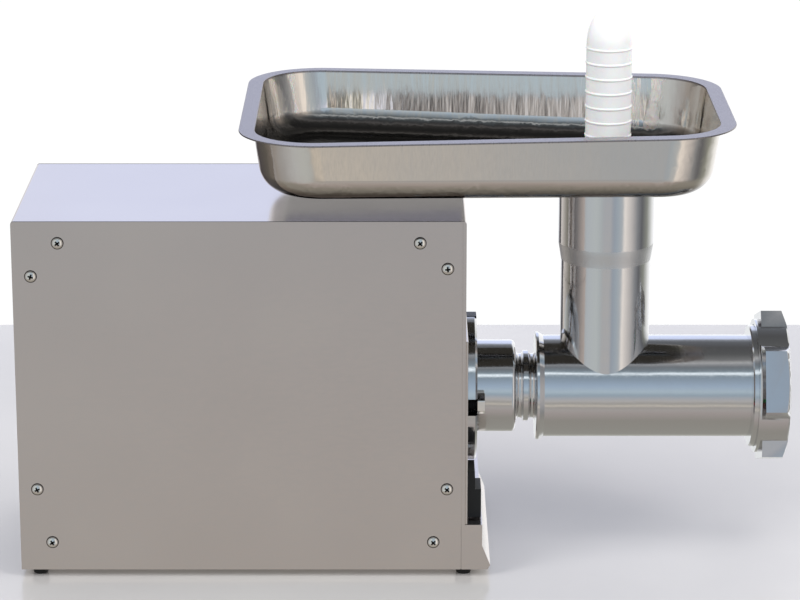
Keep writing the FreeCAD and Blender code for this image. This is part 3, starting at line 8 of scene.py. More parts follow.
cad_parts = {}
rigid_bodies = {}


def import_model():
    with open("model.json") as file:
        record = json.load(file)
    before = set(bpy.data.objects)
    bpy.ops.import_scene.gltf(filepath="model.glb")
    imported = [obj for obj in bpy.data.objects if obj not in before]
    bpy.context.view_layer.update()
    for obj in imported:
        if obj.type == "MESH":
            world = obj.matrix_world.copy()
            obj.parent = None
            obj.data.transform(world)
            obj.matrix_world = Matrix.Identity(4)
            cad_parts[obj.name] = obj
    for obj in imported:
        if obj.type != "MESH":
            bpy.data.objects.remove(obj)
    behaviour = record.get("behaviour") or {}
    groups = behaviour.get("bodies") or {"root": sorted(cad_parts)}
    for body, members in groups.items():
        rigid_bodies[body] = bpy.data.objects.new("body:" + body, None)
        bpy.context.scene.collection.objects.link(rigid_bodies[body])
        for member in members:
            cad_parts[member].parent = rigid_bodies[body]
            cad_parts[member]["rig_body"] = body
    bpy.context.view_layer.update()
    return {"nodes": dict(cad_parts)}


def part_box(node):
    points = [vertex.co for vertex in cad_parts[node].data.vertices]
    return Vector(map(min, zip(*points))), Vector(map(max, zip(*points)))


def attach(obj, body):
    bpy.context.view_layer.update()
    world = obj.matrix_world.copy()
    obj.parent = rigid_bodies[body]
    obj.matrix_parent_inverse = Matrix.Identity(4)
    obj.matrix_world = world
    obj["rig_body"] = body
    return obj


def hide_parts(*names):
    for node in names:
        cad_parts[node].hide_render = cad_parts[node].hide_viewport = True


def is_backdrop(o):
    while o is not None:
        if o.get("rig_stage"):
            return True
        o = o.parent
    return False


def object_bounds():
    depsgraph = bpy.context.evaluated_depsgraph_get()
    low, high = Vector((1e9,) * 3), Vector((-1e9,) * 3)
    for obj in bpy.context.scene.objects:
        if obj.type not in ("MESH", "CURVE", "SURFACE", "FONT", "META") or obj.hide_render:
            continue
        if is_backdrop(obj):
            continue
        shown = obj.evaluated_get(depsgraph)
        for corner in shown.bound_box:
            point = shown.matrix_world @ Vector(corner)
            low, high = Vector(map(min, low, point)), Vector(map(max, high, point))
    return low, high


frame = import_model()

# ---------------------------------------------------------------------------------
# Camera. It stands in front of the casing's left side panel, a little above the
# tray, and looks slightly down with a long lens, so the sides stay nearly square.

camera = bpy.data.objects.new("camera", bpy.data.cameras.new("camera"))
bpy.context.scene.collection.objects.link(camera)
camera.data.sensor_width = 36.0
camera.data.lens = 145.78
camera.location = (0.00253, -2.49767, 0.91401)
camera.rotation_euler = (math.radians(90 - 15.952), 0, 0)
camera.data.clip_end = 60
bpy.context.scene.camera = camera
bpy.context.scene.view_settings.view_transform = "Standard"


# ---------------------------------------------------------------------------------
# Studio. A white backdrop is what the camera sees. What polished metal sees is a room
# of white sheets, lamps and dark gaps, which draw the long bands on the round pieces.

def linear(code):
    """An sRGB colour such as "c8c4ba" as linear red, green, blue and alpha."""
    parts = [int(code[n:n + 2], 16) / 255 for n in (0, 2, 4)]
    return [v / 12.92 if v <= 0.04045 else ((v + 0.055) / 1.055) ** 2.4 for v in parts] + [1]


def node(tree, kind, links=(), values=(), stops=(), **settings):
    """Adds a shader node with its settings, input values, links and colour stops."""
    made = tree.nodes.new("ShaderNode" + kind)
    for name, value in settings.items():
        setattr(made, name, value)
    for name, value in dict(values).items():
        made.inputs[name].default_value = value
    for name, socket in dict(links).items():
        tree.links.new(socket, made.inputs[name])
    if stops:
        elements = made.color_ramp.elements
        while len(elements) < len(stops):
            elements.new(1.0)
        for element, (place, code) in zip(elements, stops):
            element.position = place
            element.color = linear(code)
    return made


def turn_stops(*pairs):
    """Stops given by angle, from -180 to 180 degrees, as places from 0 to 1."""
    return [(0.5 + angle / 360, code) for angle, code in pairs]


world = bpy.data.worlds.new("studio")
bpy.context.scene.world = world
world.use_nodes = True
sky = world.node_tree
sky.nodes.clear()
toward = node(sky, "SeparateXYZ", {"Vector": node(sky, "TexCoord").outputs["Generated"]}).outputs
forward = node(sky, "Math", {0: toward["Y"]}, {1: -1.0}, operation="MULTIPLY").outputs[0]
shares = []
for side in ("Z", "X"):
    angle = node(sky, "Math", {0: toward[side], 1: forward}, operation="ARCTAN2").outputs[0]
    shares.append(node(sky, "MapRange", {"Value": angle},
                       {"From Min": -math.pi, "From Max": math.pi}).outputs["Result"])
# Up and over: 0 is level in front, 90 overhead, 180 level behind, -90 straight down.
over = node(sky, "ValToRGB", {"Fac": shares[0]}, stops=turn_stops(
    (-180, "f6f8fc"), (-163, "d8dadb"), (-150, "a5a49d"), (-127, "8b8982"),
    (-70, "88847d"), (-50, "98908c"), (-40, "9d9894"), (-34.5, "938f8a"), (-31, "b9b1a6"),
    (-25, "93908b"), (-20, "a8a4a0"), (-13, "9ea0a4"), (-6, "8c9aa4"), (2, "a3b1ba"),
    (14, "95a5b6"), (30, "83919e"), (37, "7a8790"), (40, "e4edf2"), (43, "e6eff5"),
    (47, "77838b"), (58, "686c70"), (66, "8b8c8e"), (69.5, "a3a3a3"), (76, "6c6c6c"),
    (92, "515252"), (112, "4b4b4c"), (132, "5a5c60"), (142, "7b7e84"), (150, "c9d2ec"),
    (168, "d1d9f2"), (176, "f2f4fa"), (180, "ffffff"))).outputs["Color"]
# Round about: 0 is in front, 90 towards the nut, -90 towards the back of the casing.
about = node(sky, "ValToRGB", {"Fac": shares[1]}, stops=turn_stops(
    (-180, "f6f6f8"), (-166, "d0d0d4"), (-156, "48464a"), (-117, "5f5e5a"), (-92, "88837f"),
    (-72, "969697"), (-48, "a8acae"), (-26, "abafae"), (-5, "9ba0a2"), (10, "89909a"),
    (26, "98a0a6"), (36, "a5a8aa"), (42, "dcd4cc"), (59, "b8b2ae"), (78, "7c7d7f"),
    (92, "5c5c5f"), (112, "82837b"), (140, "dcdcda"), (165, "f4f4f6"), (180, "f6f6f8"))
).outputs["Color"]
# The bands round about take over for what looks well to one side and nearly level.
aside = node(sky, "Math", {0: toward["X"]}, operation="ABSOLUTE").outputs[0]
level = node(sky, "Math", {0: toward["Z"]}, operation="ABSOLUTE").outputs[0]
to_side = node(sky, "MapRange", {"Value": aside}, {"From Min": 0.08, "From Max": 0.3},
               interpolation_type="SMOOTHSTEP").outputs["Result"]
to_level = node(sky, "MapRange", {"Value": level}, {"From Min": 0.75, "From Max": 0.45},
                interpolation_type="SMOOTHSTEP").outputs["Result"]
share = node(sky, "Math", {0: to_side, 1: to_level}, operation="MULTIPLY").outputs[0]
room = node(sky, "Mix", {"Factor": share, 6: over, 7: about}, data_type="RGBA").outputs[2]
reflected = node(sky, "Background", {"Color": room}, {"Strength": 1.25}).outputs[0]
seen = node(sky, "Background", values={"Color": linear("ffffff"), "Strength": 1.03}).outputs[0]
eye = node(sky, "LightPath").outputs["Is Camera Ray"]
mixed = node(sky, "MixShader", {0: eye, 1: reflected, 2: seen}).outputs[0]
node(sky, "OutputWorld", {"Surface": mixed})

# Table. Glossy pale laminate that ends behind the machine. Metal doesn't mirror it.
TABLE_BACK, TABLE_FRONT, TABLE_SIDE = 0.61, -0.7, 3.0
built = bmesh.new()
bmesh.ops.create_grid(built, x_segments=1, y_segments=1, size=0.5)
bmesh.ops.transform(built, verts=built.verts, matrix=Matrix.LocRotScale(
    Vector((0, (TABLE_BACK + TABLE_FRONT) / 2, 0)), None,
    Vector((2 * TABLE_SIDE, TABLE_BACK - TABLE_FRONT, 1))))
table = bpy.data.objects.new("table", bpy.data.meshes.new("table"))
built.to_mesh(table.data)
bpy.context.scene.collection.objects.link(table)
table.visible_glossy = False
table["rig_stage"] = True


def new_material(name, colour, roughness, **sockets):
    """A Principled material with its constants on the shader's own sockets."""
    made = bpy.data.materials.new(name)
    made.use_nodes = True
    tree = made.node_tree
    tree.nodes.clear()
    values = {"Base Color": linear(colour), "Roughness": roughness}
    values.update({label.replace("_", " "): value for label, value in sockets.items()})
    shader = node(tree, "BsdfPrincipled", values=values)
    node(tree, "OutputMaterial", {"Surface": shader.outputs["BSDF"]})
    return made, tree, shader


# Gloss laminate: faint cloudy print under the gloss, so it isn't one flat tone.
laminate, tree, shader = new_material("gloss_laminate", "cbc7c4", 0.16, Specular_IOR_Level=0.6)
place = node(tree, "TexCoord").outputs["Object"]
cloud = node(tree, "TexNoise", {"Vector": place}, {"Scale": 3.0, "Detail": 4.0}).outputs[0]
print_tone = node(tree, "ValToRGB", {"Fac": cloud}, stops=((0.35, "c6c3c2"), (0.65, "cfccca")))
tree.links.new(print_tone.outputs["Color"], shader.inputs["Base Color"])
table.data.materials.append(laminate)

# Lamps. Four soft boxes light the machine, and none of them shows in a reflection.
for name, place, turn, size, power in (
        ("overhead_box", (0.1, -0.1, 2.2), (0, 0, 0), (2.4, 1.6), 29),
        ("left_box", (-2.2, -1.6, 1.5), (62, 0, -55), (1.4, 1.6), 49),
        ("right_box", (2.4, -1.4, 1.5), (62, 0, 60), (1.4, 1.6), 47),
        ("back_box", (0.2, 2.4, 1.8), (-52, 0, 0), (3.0, 1.4), 34)):
    lamp = bpy.data.lights.new(name, "AREA")
    lamp.shape = "RECTANGLE"
    lamp.size, lamp.size_y = size
    lamp.energy = power
    held = bpy.data.objects.new(name, lamp)
    held.location = place
    held.rotation_euler = [math.radians(a) for a in turn]
    held.visible_glossy = False
    bpy.context.scene.collection.objects.link(held)


# ---------------------------------------------------------------------------------
# Casing. Folded 1.5 mm stainless sheet with a fine satin from the mill. The laser-cut
# panels are deburred, so a narrow round runs along each edge and catches the light.

WELD = 1e-6                     # Points nearer than this are one point.
SAME_PLANE = math.radians(0.5)  # Faces that meet flatter than this are one face.


def copied(source):
    """A welded copy of a CAD node's mesh, to work on."""
    built = bmesh.new()
    built.from_mesh(frame["nodes"][source].data)
    bmesh.ops.remove_doubles(built, verts=built.verts, dist=WELD)
    return built


def sharp_edges(built, sharp, shortest=0.0):
    """The edges that turn by more than an angle and are longer than a length."""
    return [e for e in built.edges if e.is_manifold and e.calc_length() > shortest
            and e.calc_face_angle(0) > math.radians(sharp)]


def bevel(built, edges, radius, segments):
    """Rounds the given edges."""
    bmesh.ops.bevel(built, geom=edges, offset=radius, segments=segments, profile=0.5,
                    affect="EDGES", clamp_overlap=True, material=-1)


def pour(part, into):
    """Adds one working mesh to another, and frees it."""
    data = bpy.data.meshes.new("part")
    part.to_mesh(data)
    part.free()
    into.from_mesh(data)
    bpy.data.meshes.remove(data)


def worked(name, source, radius, segments=2, sharp=30, shortest=0.0):
    """A copy of a CAD node with its sharp edges rounded, which stands in for the node."""
    built = copied(source)
    bmesh.ops.dissolve_limit(built, angle_limit=SAME_PLANE, verts=built.verts,
                             edges=built.edges)
    bevel(built, sharp_edges(built, sharp, shortest), radius, segments)
    keep(name, built, source)


def keep(name, built, *sources, flat=35):
    """Makes the piece's object, which rides with its nodes' body, and hides its nodes."""
    made = bpy.data.objects.new(name, bpy.data.meshes.new(name))
    built.to_mesh(made.data)
    built.free()
    made.data.shade_smooth()
    made.data.set_sharp_from_angle(angle=math.radians(flat))
    bpy.context.scene.collection.objects.link(made)
    made.modifiers.new("even_shading", "WEIGHTED_NORMAL").keep_sharp = True
    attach(made, frame["nodes"][sources[0]]["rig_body"])
    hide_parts(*sources)


def dress(material, *names):
    """Gives a material to pieces or to CAD nodes, by name, and keeps the faces' numbers."""
    for name in names:
        held = bpy.data.objects[name].data.materials
        if len(held):
            held[0] = material
        else:
            held.append(material)


def metal(name, colour, roughness, mark, stretch=(1, 1, 1), depth=0.0, uneven=0.04, **sockets):
    """Bare metal: marks of a real size, drawn out along an axis, vary its gloss and height."""
    made, tree, shader = new_material(name, colour, roughness, Metallic=1.0, **sockets)
    place = node(tree, "TexCoord").outputs["Object"]
    laid = node(tree, "Mapping", {"Vector": place},
                {"Scale": [s / mark for s in stretch]}).outputs[0]
    marks = node(tree, "TexNoise", {"Vector": laid}, {"Scale": 1.0, "Detail": 4.0}).outputs[0]
    gloss = node(tree, "MapRange", {"Value": marks},
                 {"From Min": 0.3, "From Max": 0.7, "To Min": roughness - uneven,
                  "To Max": roughness + uneven}).outputs["Result"]
    tree.links.new(gloss, shader.inputs["Roughness"])
    if depth:
        bump = node(tree, "Bump", {"Height": marks}, {"Distance": depth, "Strength": 1.0})
        tree.links.new(bump.outputs[0], shader.inputs["Normal"])
    return made, tree, shader, marks


def satin(name, roughness, uneven):
    """Stainless sheet: a soft warm grey mirror with mill marks 0.8 mm across."""
    made, tree, shader = metal(name, "e4ddd6", roughness, 0.0008, stretch=(0.15, 1, 1),
                               uneven=uneven)[:3]
    place = node(tree, "TexCoord").outputs["Object"]
    cloud = node(tree, "TexNoise", {"Vector": place}, {"Scale": 9.0, "Detail": 2.0}).outputs[0]
    tint = node(tree, "ValToRGB", {"Fac": cloud}, stops=(
        (0.3, "e2dad5"), (0.55, "e4dcd7"), (0.75, "e7dfd9"))).outputs["Color"]
    tree.links.new(tint, shader.inputs["Base Color"])
    return made


# The flat panels are satin, and the folded cover is a little brighter than they are.
sheet = satin("satin_stainless_sheet", 0.2, 0.05)
cover_sheet = satin("bright_stainless_sheet", 0.1, 0.02)

# Dark edge: the same steel, nearly black. On the panels it stands partly for the burnt laser cut
# and partly for painted shade in the seam against the cover. On the screws it is painted shade in
# the cross recess and the black of the lock washers.
cut_edge_and_painted_shade = metal("laser_cut_edge_and_painted_shade", "1d1c1b", 0.45, 0.0006, depth=0.00004)[0]

EDGE, STRIP_EDGE, TOP_ROUND = 0.0014, 0.0006, 0.0024
CORNER_STRIP, SEAM = 0.0031, 0.0007
LONGER_THAN_HOLES = 0.004  # The short edges of the screw holes stay as they are.
for side in ("left", "right"):
    source = f"side_panel_{side}"
    front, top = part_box(source)[1].x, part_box(source)[1].z
    both = bmesh.new()
    # The broad sheet first, then the strip beside it that folds round to the front.
    for cut, way in ((front - CORNER_STRIP - SEAM / 2, 1), (front - CORNER_STRIP + SEAM / 2, -1)):
        part = copied(source)
        bmesh.ops.bisect_plane(part, geom=part.verts[:] + part.edges[:] + part.faces[:],
                               plane_co=(cut, 0, 0), plane_no=(way, 0, 0), clear_outer=True)
        bmesh.ops.holes_fill(part, edges=[e for e in part.edges if e.is_boundary])
        bmesh.ops.dissolve_limit(part, angle_limit=SAME_PLANE, verts=part.verts,
                                 edges=part.edges)
        if way < 0:
            nose = [e for e in part.edges
                    if all(v.co.x > front - 1e-4 and v.co.z > top - 1e-4 for v in e.verts)]
            bevel(part, nose, TOP_ROUND, 4)
        bevel(part, sharp_edges(part, 30, shortest=LONGER_THAN_HOLES),
              EDGE if way > 0 else STRIP_EDGE, 3)
        # The cut edge and its round, all that doesn't face squarely outwards, are painted near
        # black, partly as the burnt cut and partly as painted shade in the seam, but not the
        # bend.
        for face in part.faces:
            bend = way < 0 and face.calc_center_median().x > front - CORNER_STRIP / 2
            face.material_index = 1 if abs(face.normal.y) < 0.97 and not bend else 0
        pour(part, both)
    keep(f"panel_{side}", both, source)
    dress(sheet, f"panel_{side}")
    bpy.data.objects[f"panel_{side}"].data.materials.append(cut_edge_and_painted_shade)
worked("cover_sheet", "wrap_cover", 0.0003)
worked("base_tray", "base_pan", 0.0008, segments=3)
worked("hub_plate", "front_plate", 0.0006, segments=3)
dress(cover_sheet, "cover_sheet")
dress(sheet, "base_tray", "hub_plate")

# ---------------------------------------------------------------------------------
# Side screws. Bright zinc-plated M4 pan heads with a cross recess, each on a black lock
# washer. They are driven by hand, so no two crosses stand at the same angle.

HEAD_RADIUS, CROWN, WASHER_RIM, WASHER_WALL = 0.0044, 0.0022, 0.0005, 0.0003
CROSS_SIZE, CROSS_LIFT = (0.0056, 0.0015, 0.0030), 0.0003
FIRST_TURN, NEXT_TURN = 25, 47


def turned(points, axis, centre, steps):
    """A profile spun once round an axis and closed into a solid."""
    built = bmesh.new()
    verts = [built.verts.new(point) for point in points]
    edges = [built.edges.new(pair) for pair in zip(verts, verts[1:])]
    bmesh.ops.spin(built, geom=verts + edges, axis=axis, cent=centre, steps=steps,
                   angle=math.tau, use_merge=True)
    bmesh.ops.remove_doubles(built, verts=built.verts, dist=WELD)
    bmesh.ops.holes_fill(built, edges=[e for e in built.edges if e.is_boundary])
    bmesh.ops.recalc_face_normals(built, faces=built.faces)
    return built


def pan_head(place, out, spin):
    """One head on its washer, and the two tapered bars of the cross to cut out of it."""
    outer = HEAD_RADIUS + WASHER_RIM
    arc = [(HEAD_RADIUS * math.cos(a), 0, WASHER_WALL + CROWN * math.sin(a))
           for a in [math.radians(d) for d in range(0, 91, 15)]]
    blank = turned([(outer, 0, -WASHER_WALL), (outer, 0, WASHER_WALL)] + arc,
                   (0, 0, 1), (0, 0, 0), 32)
    wings = []
    for quarter in range(2):
        wing = bmesh.new()
        bmesh.ops.create_cube(wing, size=1.0)
        bmesh.ops.scale(wing, verts=wing.verts, vec=CROSS_SIZE)
        low = [v for v in wing.verts if v.co.z < 0]
        bmesh.ops.scale(wing, verts=low, vec=(0.4, 0.7, 1))
        bmesh.ops.rotate(wing, verts=wing.verts,
                         matrix=Matrix.Rotation(quarter * math.pi / 2, 3, "Z"))
        bmesh.ops.translate(wing, verts=wing.verts, vec=(0, 0, CROWN - CROSS_LIFT))
        wings.append(wing)
    turn = out.to_track_quat("Z", "Y").to_matrix().to_4x4()
    put = Matrix.Translation(place) @ turn @ Matrix.Rotation(spin, 4, "Z")
    for piece in (blank, *wings):
        bmesh.ops.transform(piece, verts=piece.verts, matrix=put)
    return blank, *wings


def cut_out(*shapes):
    """The first shape with the others taken away, as one mesh."""
    held = []
    for built in shapes:
        data = bpy.data.meshes.new("blank")
        built.to_mesh(data)
        built.free()
        held.append(bpy.data.objects.new("blank", data))
        bpy.context.scene.collection.objects.link(held[-1])
    for tool in held[1:]:
        cut = held[0].modifiers.new("cut", "BOOLEAN")
        cut.operation, cut.solver, cut.object = "DIFFERENCE", "EXACT", tool
    bpy.context.view_layer.update()
    done = bpy.data.meshes.new_from_object(
        held[0].evaluated_get(bpy.context.evaluated_depsgraph_get()))
    for thing in held:
        bpy.data.objects.remove(thing)
    return done


def islands(name):
    """The box of each separate solid in a CAD node."""
    built = copied(name)
    left, boxes = set(built.verts), []
    while left:
        stack, found = [left.pop()], []
        while stack:
            vert = stack.pop()
            found.append(vert.co.copy())
            for edge in vert.link_edges:
                other = edge.other_vert(vert)
                if other in left:
                    left.remove(other)
                    stack.append(other)
        boxes.append([Vector(pick(v[i] for v in found) for i in range(3)) for pick in (min, max)])
    built.free()
    return sorted(boxes, key=lambda box: tuple(round(v, 4) for v in box[0]))


heads = bmesh.new()
for number, (low, high) in enumerate(islands("side_screws")):
    middle = (low + high) / 2
    side = -1 if middle.y < 0 else 1
    face_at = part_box("side_panel_left")[0].y if side < 0 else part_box("side_panel_right")[1].y
    seat = Vector((middle.x, face_at, middle.z))
    done = cut_out(*pan_head(seat, Vector((0, side, 0)),
                             math.radians(FIRST_TURN + NEXT_TURN * number)))
    # What lies below the dome is the cross recess or the black washer, and both get the
    # near-black material: painted shade in the deep recess, and the washer's own black around it.
    for face in done.polygons:
        away = face.center - seat
        rise = away.y * side
        reach = min(math.hypot(away.x, away.z) / HEAD_RADIUS, 1.0)
        dome = WASHER_WALL + CROWN * math.sqrt(1 - reach ** 2)
        face.material_index = 1 if rise < dome - 0.0002 or reach == 1.0 else 0
    heads.from_mesh(done)
    bpy.data.meshes.remove(done)
keep("screw_heads", heads, "side_screws", flat=40)

# Bright zinc: nearly a mirror and a little uneven. The sharp recess is painted near black as
# shade, by the second material.
bright_zinc = metal("bright_zinc_plate", "fbf9f4", 0.08, 0.0015, depth=0.00002)[0]
dress(bright_zinc, "screw_heads")
bpy.data.objects["screw_heads"].data.materials.append(cut_edge_and_painted_shade)

# ---------------------------------------------------------------------------------
# Hub, studs, nuts and clamp blocks. The hub is turned from a casting and polished.
# Black threaded studs fill its slots, and a bright thin nut holds each one.

def tinned(name):
    """Tinned and buffed iron: bright, with lines round the axis and a faint orange peel."""
    made, tree, shader = metal(name, "e9eaec", 0.11, 0.0011, stretch=(1, 0.05, 0.05),
                               uneven=0.05)[:3]
    place = node(tree, "TexCoord").outputs["Object"]
    peel = node(tree, "TexNoise", {"Vector": place}, {"Scale": 420.0, "Detail": 3.0}).outputs[0]
    swell = node(tree, "TexNoise", {"Vector": place}, {"Scale": 60.0, "Detail": 1.0}).outputs[0]
    fine = node(tree, "Bump", {"Height": peel}, {"Distance": 0.000018, "Strength": 1.0})
    broad = node(tree, "Bump", {"Height": swell, "Normal": fine.outputs[0]},
                 {"Distance": 0.00012, "Strength": 1.0})
    tree.links.new(broad.outputs[0], shader.inputs["Normal"])
    return made, tree, shader, place


tinned_turned = tinned("tinned_casting_turned")[0]
worked("hub_casting", "hub", 0.0006, segments=3)
dress(tinned_turned, "hub_casting")
worked("thin_nuts", "hub_nuts", 0.0007)
dress(bright_zinc, "thin_nuts")

# The studs' thread is turned in the mesh, as ridges 1.25 mm apart, because that is what
# breaks up the light on them.
THREAD_PITCH, THREAD_DEPTH, TIP_RADIUS = 0.00125, 0.0004, 0.004
tip_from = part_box("hub_nuts")[0].x
studs = bmesh.new()
for low, high in islands("hub_studs"):
    centre, radius = (low + high) / 2, (high.z - low.z) / 2
    profile = [(low.x, 0)]
    for start, stop, reach in ((low.x, tip_from, radius), (tip_from, high.x, TIP_RADIUS)):
        ridges = int((stop - start) / THREAD_PITCH)
        for ridge in range(ridges):
            near = start + (stop - start) * ridge / ridges
            profile += [(near, reach - THREAD_DEPTH), (near + 0.4 * THREAD_PITCH, reach),
                        (near + 0.6 * THREAD_PITCH, reach)]
        profile.append((stop, reach - THREAD_DEPTH))
    profile.append((high.x, 0))
    pour(turned([(x, centre.y + out, centre.z) for x, out in profile], (1, 0, 0),
                (0, centre.y, centre.z), 40), studs)
keep("threaded_studs", studs, "hub_studs")
# Black oxide steel: near black with an oily sheen.
black_oxide = metal("black_oxide_steel", "232326", 0.35, 0.0008, depth=0.00002)[0]
dress(black_oxide, "threaded_studs")


def moulded(name, colour, roughness, grain, depth, **sockets):
    """Plastic or rubber with a moulded grain of a real size, and slight tone changes."""
    made, tree, shader = new_material(name, colour, roughness, **sockets)
    place = node(tree, "TexCoord").outputs["Object"]
    grains = node(tree, "TexNoise", {"Vector": place}, {"Scale": 1 / grain, "Detail": 3.0})
    bump = node(tree, "Bump", {"Height": grains.outputs[0]}, {"Distance": depth, "Strength": 1.0})
    tree.links.new(bump.outputs[0], shader.inputs["Normal"])
    tone = node(tree, "TexNoise", {"Vector": place}, {"Scale": 40.0, "Detail": 2.0}).outputs[0]
    gloss = node(tree, "MapRange", {"Value": tone},
                 {"From Min": 0.3, "From Max": 0.7, "To Min": roughness - 0.06,
                  "To Max": roughness + 0.06}).outputs["Result"]
    tree.links.new(gloss, shader.inputs["Roughness"])
    return made


# Nylon: black with a soft sheen. Rubber: blacker, matt, and coarser in the grain.
nylon = moulded("black_glass_filled_nylon", "111113", 0.42, 0.0006, 0.00002)
rubber = moulded("black_rubber", "0c0c0d", 0.7, 0.0009, 0.00003)
worked("clamp_blocks", "rim_clamps", 0.0005)
dress(black_oxide, "clamp_blocks")

# ---------------------------------------------------------------------------------
# Lock knob. A moulded six-lobed knob on a plain steel screw through the hub's far wall.

worked("knob", "lock_knob", 0.0012, segments=3, sharp=35)
dress(nylon, "knob")
# Turned steel: a bright grey with fine lines along each rod.
turned_steel = metal("turned_steel", "d6d7d9", 0.2, 0.0007, stretch=(0.2, 0.2, 2),
                     depth=0.00001)[0]
dress(turned_steel, "lock_screw")

# ---------------------------------------------------------------------------------
# Switch. A black moulded housing, a red stop mushroom in its shroud and a flush green
# start button above it.

worked("switch_body", "switch_housing", 0.0012, segments=3)
dress(nylon, "switch_body")
# Coloured buttons: clear signal colours under an even half gloss.
green = moulded("green_abs", "0f8a3c", 0.3, 0.0012, 0.00001)
red = moulded("red_abs", "c01812", 0.3, 0.0012, 0.00001)
worked("green_button", "start_button", 0.0007, segments=3)
worked("red_button", "stop_button", 0.0007, segments=3)
dress(green, "green_button")
dress(red, "red_button")

# ---------------------------------------------------------------------------------
# Cable gland and feet. A ribbed nylon gland in the back, and four turned-down rubber
# feet held by zinc screws and nuts.

worked("gland_body", "cable_gland", 0.0006, segments=3)
dress(nylon, "gland_body", "gland_nut")
worked("rubber_feet", "feet", 0.0008, segments=3)
dress(rubber, "rubber_feet")
dress(bright_zinc, "foot_screws", "foot_nuts", "gearbox_screws", "motor_tie_bolts")

# ---------------------------------------------------------------------------------
# Grinding head. One iron casting, tinned and buffed: neck, rim, barrel, boss and
# throat. The throat's shoulder is left dull where the buffing wheel can't reach.

worked("head_casting", "head_body", 0.0005, segments=2, sharp=28)
head_metal, tree, shader, place = tinned("tinned_casting_buffed")
height = node(tree, "SeparateXYZ", {"Vector": place}).outputs["Z"]
AXIS_Z = sum(v[2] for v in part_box("worm")) / 2
SHOULDER_LOW, SHOULDER_HIGH, FADE = AXIS_Z + 0.1065, AXIS_Z + 0.1215, 0.004
dull = node(tree, "ValToRGB", {"Fac": node(tree, "MapRange", {"Value": height}, {
    "From Min": SHOULDER_LOW - FADE, "From Max": SHOULDER_HIGH + FADE}).outputs[0]}, stops=(
        (0.0, "000000"), (0.17, "000000"), (0.22, "ffffff"), (0.78, "ffffff"), (0.84, "000000"))
).outputs["Color"]
was = shader.inputs["Roughness"].links[0].from_socket
tree.links.new(node(tree, "MapRange", {"Value": dull, "To Min": was}, {"To Max": 0.42}
                    ).outputs["Result"], shader.inputs["Roughness"])
dress(head_metal, "head_casting")

# ---------------------------------------------------------------------------------
# Worm, knife, plate and their small parts, inside the head. The worm is a tinned
# casting, the knife and plate are ground steel, and the bush and washer are bronze.

dress(tinned_turned, "worm")
# Ground tool steel: grey and even, with fine upright scratches.
ground_steel = metal("ground_tool_steel", "cfd0d2", 0.24, 0.0004, stretch=(1, 1, 0.1),
                     depth=0.000006)[0]
worked("drilled_plate", "grinding_plate", 0.0004)
worked("knife_blades", "knife", 0.0004)
dress(ground_steel, "drilled_plate", "knife_blades", "plate_key")
# Turned bronze: warm yellow brown with fine tool rings.
bronze = metal("turned_bronze", "c9965a", 0.25, 0.0006, stretch=(2, 0.2, 0.2),
               depth=0.00001)[0]
dress(bronze, "head_bush", "thrust_washer")

# ---------------------------------------------------------------------------------
# Ring nut. A tinned casting with four flat-faced lugs. Its long edges are rounded and
# catch the light, and the short ones stay sharp.

worked("lug_nut", "ring_nut", 0.0012, segments=3, sharp=25, shortest=0.006)
dress(tinned_turned, "lug_nut")

# ---------------------------------------------------------------------------------
# Tray. Deep-drawn 1.2 mm stainless, polished. Drawing leaves upright waves in the walls,
# strongest on the inside of the far one, and long shallow swells everywhere.

worked("drawn_tray", "tray", 0.0005, segments=2, sharp=25)
tray_metal, tree, shader, marks = metal("polished_drawn_stainless", "efeae4", 0.1, 0.0012,
                                        stretch=(1, 1, 0.1), uneven=0.05)
place = node(tree, "TexCoord").outputs["Object"]
upright = node(tree, "Mapping", {"Vector": place}, {"Scale": (150.0, 150.0, 8.0)}).outputs[0]
waves = node(tree, "TexNoise", {"Vector": upright}, {"Scale": 1.0, "Detail": 2.5}).outputs[0]
long_waves = node(tree, "TexNoise", {"Vector": place}, {"Scale": 14.0, "Detail": 1.0}).outputs[0]
across = node(tree, "SeparateXYZ", {"Vector": place}).outputs
far = node(tree, "MapRange", {"Value": across["Y"]}, {
    "From Min": -0.08, "From Max": 0.1, "To Min": 0.12, "To Max": 1.0}).outputs[0]
facing = node(tree, "SeparateXYZ", {"Vector": node(tree, "NewGeometry").outputs["Normal"]})
inward = node(tree, "MapRange", {"Value": facing.outputs["Y"]}, {
    "From Min": 0.3, "From Max": -0.3, "To Min": 0.12, "To Max": 1.0})
both = node(tree, "Math", {0: far, 1: inward.outputs[0]}, operation="MULTIPLY")
wavy = node(tree, "Bump", {"Height": waves, "Strength": both.outputs[0]}, {"Distance": 0.0003})
bent = node(tree, "Bump", {"Height": long_waves, "Normal": wavy.outputs[0]},
            {"Distance": 0.0004, "Strength": 1.0})
tree.links.new(bent.outputs[0], shader.inputs["Normal"])
# The flat rim is only brushed, so it is duller and darker than the polished walls.
rim_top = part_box("tray")[1].z
on_rim = node(tree, "MapRange", {"Value": across["Z"]},
              {"From Min": rim_top - 0.0016, "From Max": rim_top - 0.0011}).outputs[0]
brushed = node(tree, "MapRange", {"Value": marks}, {"From Min": 0.3, "From Max": 0.7,
                                                    "To Min": 0.22, "To Max": 0.42}).outputs[0]
gloss = shader.inputs["Roughness"].links[0].from_socket
tree.links.new(node(tree, "Mix", {"Factor": on_rim, 2: gloss, 3: brushed}).outputs[0],
               shader.inputs["Roughness"])
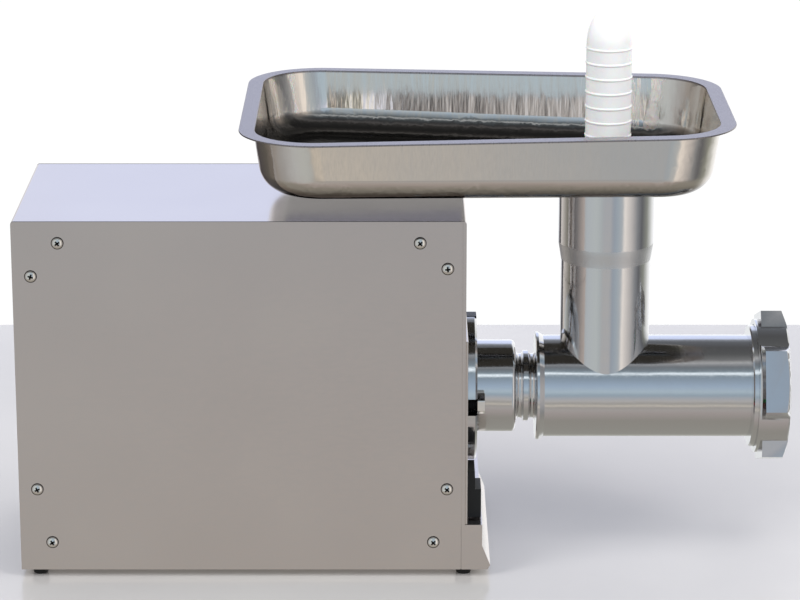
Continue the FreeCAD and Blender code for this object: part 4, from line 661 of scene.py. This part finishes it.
# Painted shade: the base colour follows which way each face looks, so the floor inside and the
# underside are painted far darker than the walls.
tilt = node(tree, "MapRange", {"Value": facing.outputs["Z"]}, {"From Min": -1.0}).outputs[0]
painted_shade_by_facing = node(tree, "ValToRGB", {"Fac": tilt}, stops=(
    (0.0, "5a5856"), (0.12, "6a6663"), (0.26, "d6d0c9"), (0.38, "efeae4"), (0.61, "f6f2ec"),
    (0.7, "a49f9a"), (0.8, "6d6a68"), (1.0, "5f5d5c"))).outputs["Color"]
tree.links.new(node(tree, "Mix", {"Factor": on_rim, 6: painted_shade_by_facing}, {7: linear("b0aaac")},
                    data_type="RGBA").outputs[2], shader.inputs["Base Color"])
dress(tray_metal, "drawn_tray")

# ---------------------------------------------------------------------------------
# Pusher. Solid white acetal, turned: seven beads round the grip, a domed end, and a
# flat piston that stays inside the throat.

low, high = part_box("pusher")
centre = (low + high) / 2
GRIP, DOME = 0.018, 0.029
BEAD, BEADS, BEAD_PITCH, BEAD_HALF, BEAD_FIRST = 0.0006, 7, 0.01165, 0.0011, 0.00265
PISTON, PISTON_TALL, PISTON_BEVEL = (high.x - low.x) / 2, 0.012, 0.0012
shoulder, step = high.z - DOME, low.z + PISTON_TALL
profile = [(0, low.z), (PISTON - PISTON_BEVEL, low.z), (PISTON, low.z + PISTON_BEVEL),
           (PISTON, step - PISTON_BEVEL), (PISTON - PISTON_BEVEL, step),
           (GRIP + 0.004, step + 0.001), (GRIP, step + 0.006)]
for bead in range(BEADS):
    middle = shoulder - BEAD_FIRST - BEAD_PITCH * (BEADS - 1 - bead)
    profile += [(GRIP + BEAD * math.cos(a) ** 2, middle + BEAD_HALF * math.sin(a))
                for a in [math.radians(d) for d in (-90, -60, -30, 0, 30, 60, 90)]]
profile += [(GRIP * math.cos(a), shoulder + DOME * math.sin(a))
            for a in [math.radians(d) for d in range(6, 90, 6)]] + [(0, high.z)]
keep("acetal_pusher", turned([(centre.x + x, centre.y, z) for x, z in profile], (0, 0, 1),
                             (centre.x, centre.y, 0), 96), "pusher")
# Acetal: clean white with a waxy depth, so its beads are drawn by soft shadows.
acetal = moulded("white_acetal", "fdfdfd", 0.32, 0.0009, 0.00001, Subsurface_Weight=0.25,
                 Subsurface_Scale=0.004)
dress(acetal, "acetal_pusher")

# ---------------------------------------------------------------------------------
# Gearbox and motor, behind the panels. Cast aluminium, cut gears, ground shafts,
# varnished laminations and copper, and plated small parts.

# Cast aluminium: pale and dull, with a sandy skin.
cast = metal("cast_aluminium", "b9bcbf", 0.5, 0.002, depth=0.00012, uneven=0.08)[0]
dress(cast, "gearbox_housing", "gearbox_cover", "motor_bell_front", "motor_bell_rear",
      "run_capacitor")
# Hobbed gear steel: mid grey with cutter marks along the teeth.
gear_steel = metal("hobbed_gear_steel", "8f9196", 0.32, 0.0008, stretch=(0.2, 1, 1),
                   depth=0.00001)[0]
dress(gear_steel, "output_gear", "intermediate_gear", "intermediate_pinion", "motor_pinion")
dress(turned_steel, "output_shaft", "intermediate_shaft", "motor_shaft",
      *[name for name in frame["nodes"] if "bearing" in name], "capacitor_clip")
# Varnished laminations: dark, with the fine edges of the stacked sheets.
laminations = metal("varnished_laminations", "3a3b40", 0.5, 0.0005, stretch=(3, 0.3, 0.3),
                    depth=0.00004)[0]
dress(laminations, "stator_stack", "rotor_core")
# Enamelled copper: orange brown, grooved wire by wire.
copper = metal("enamelled_copper", "c4764a", 0.35, 0.0008, stretch=(2, 0.3, 0.3),
               depth=0.0001)[0]
dress(copper, "stator_windings")
dress(nylon, "cooling_fan")
dress(rubber, "oil_seal")
# Ivory polyamide: plain, pale and half matt.
ivory = moulded("ivory_polyamide", "dcd3b8", 0.45, 0.0009, 0.00001)
dress(ivory, "terminal_block")

low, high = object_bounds()
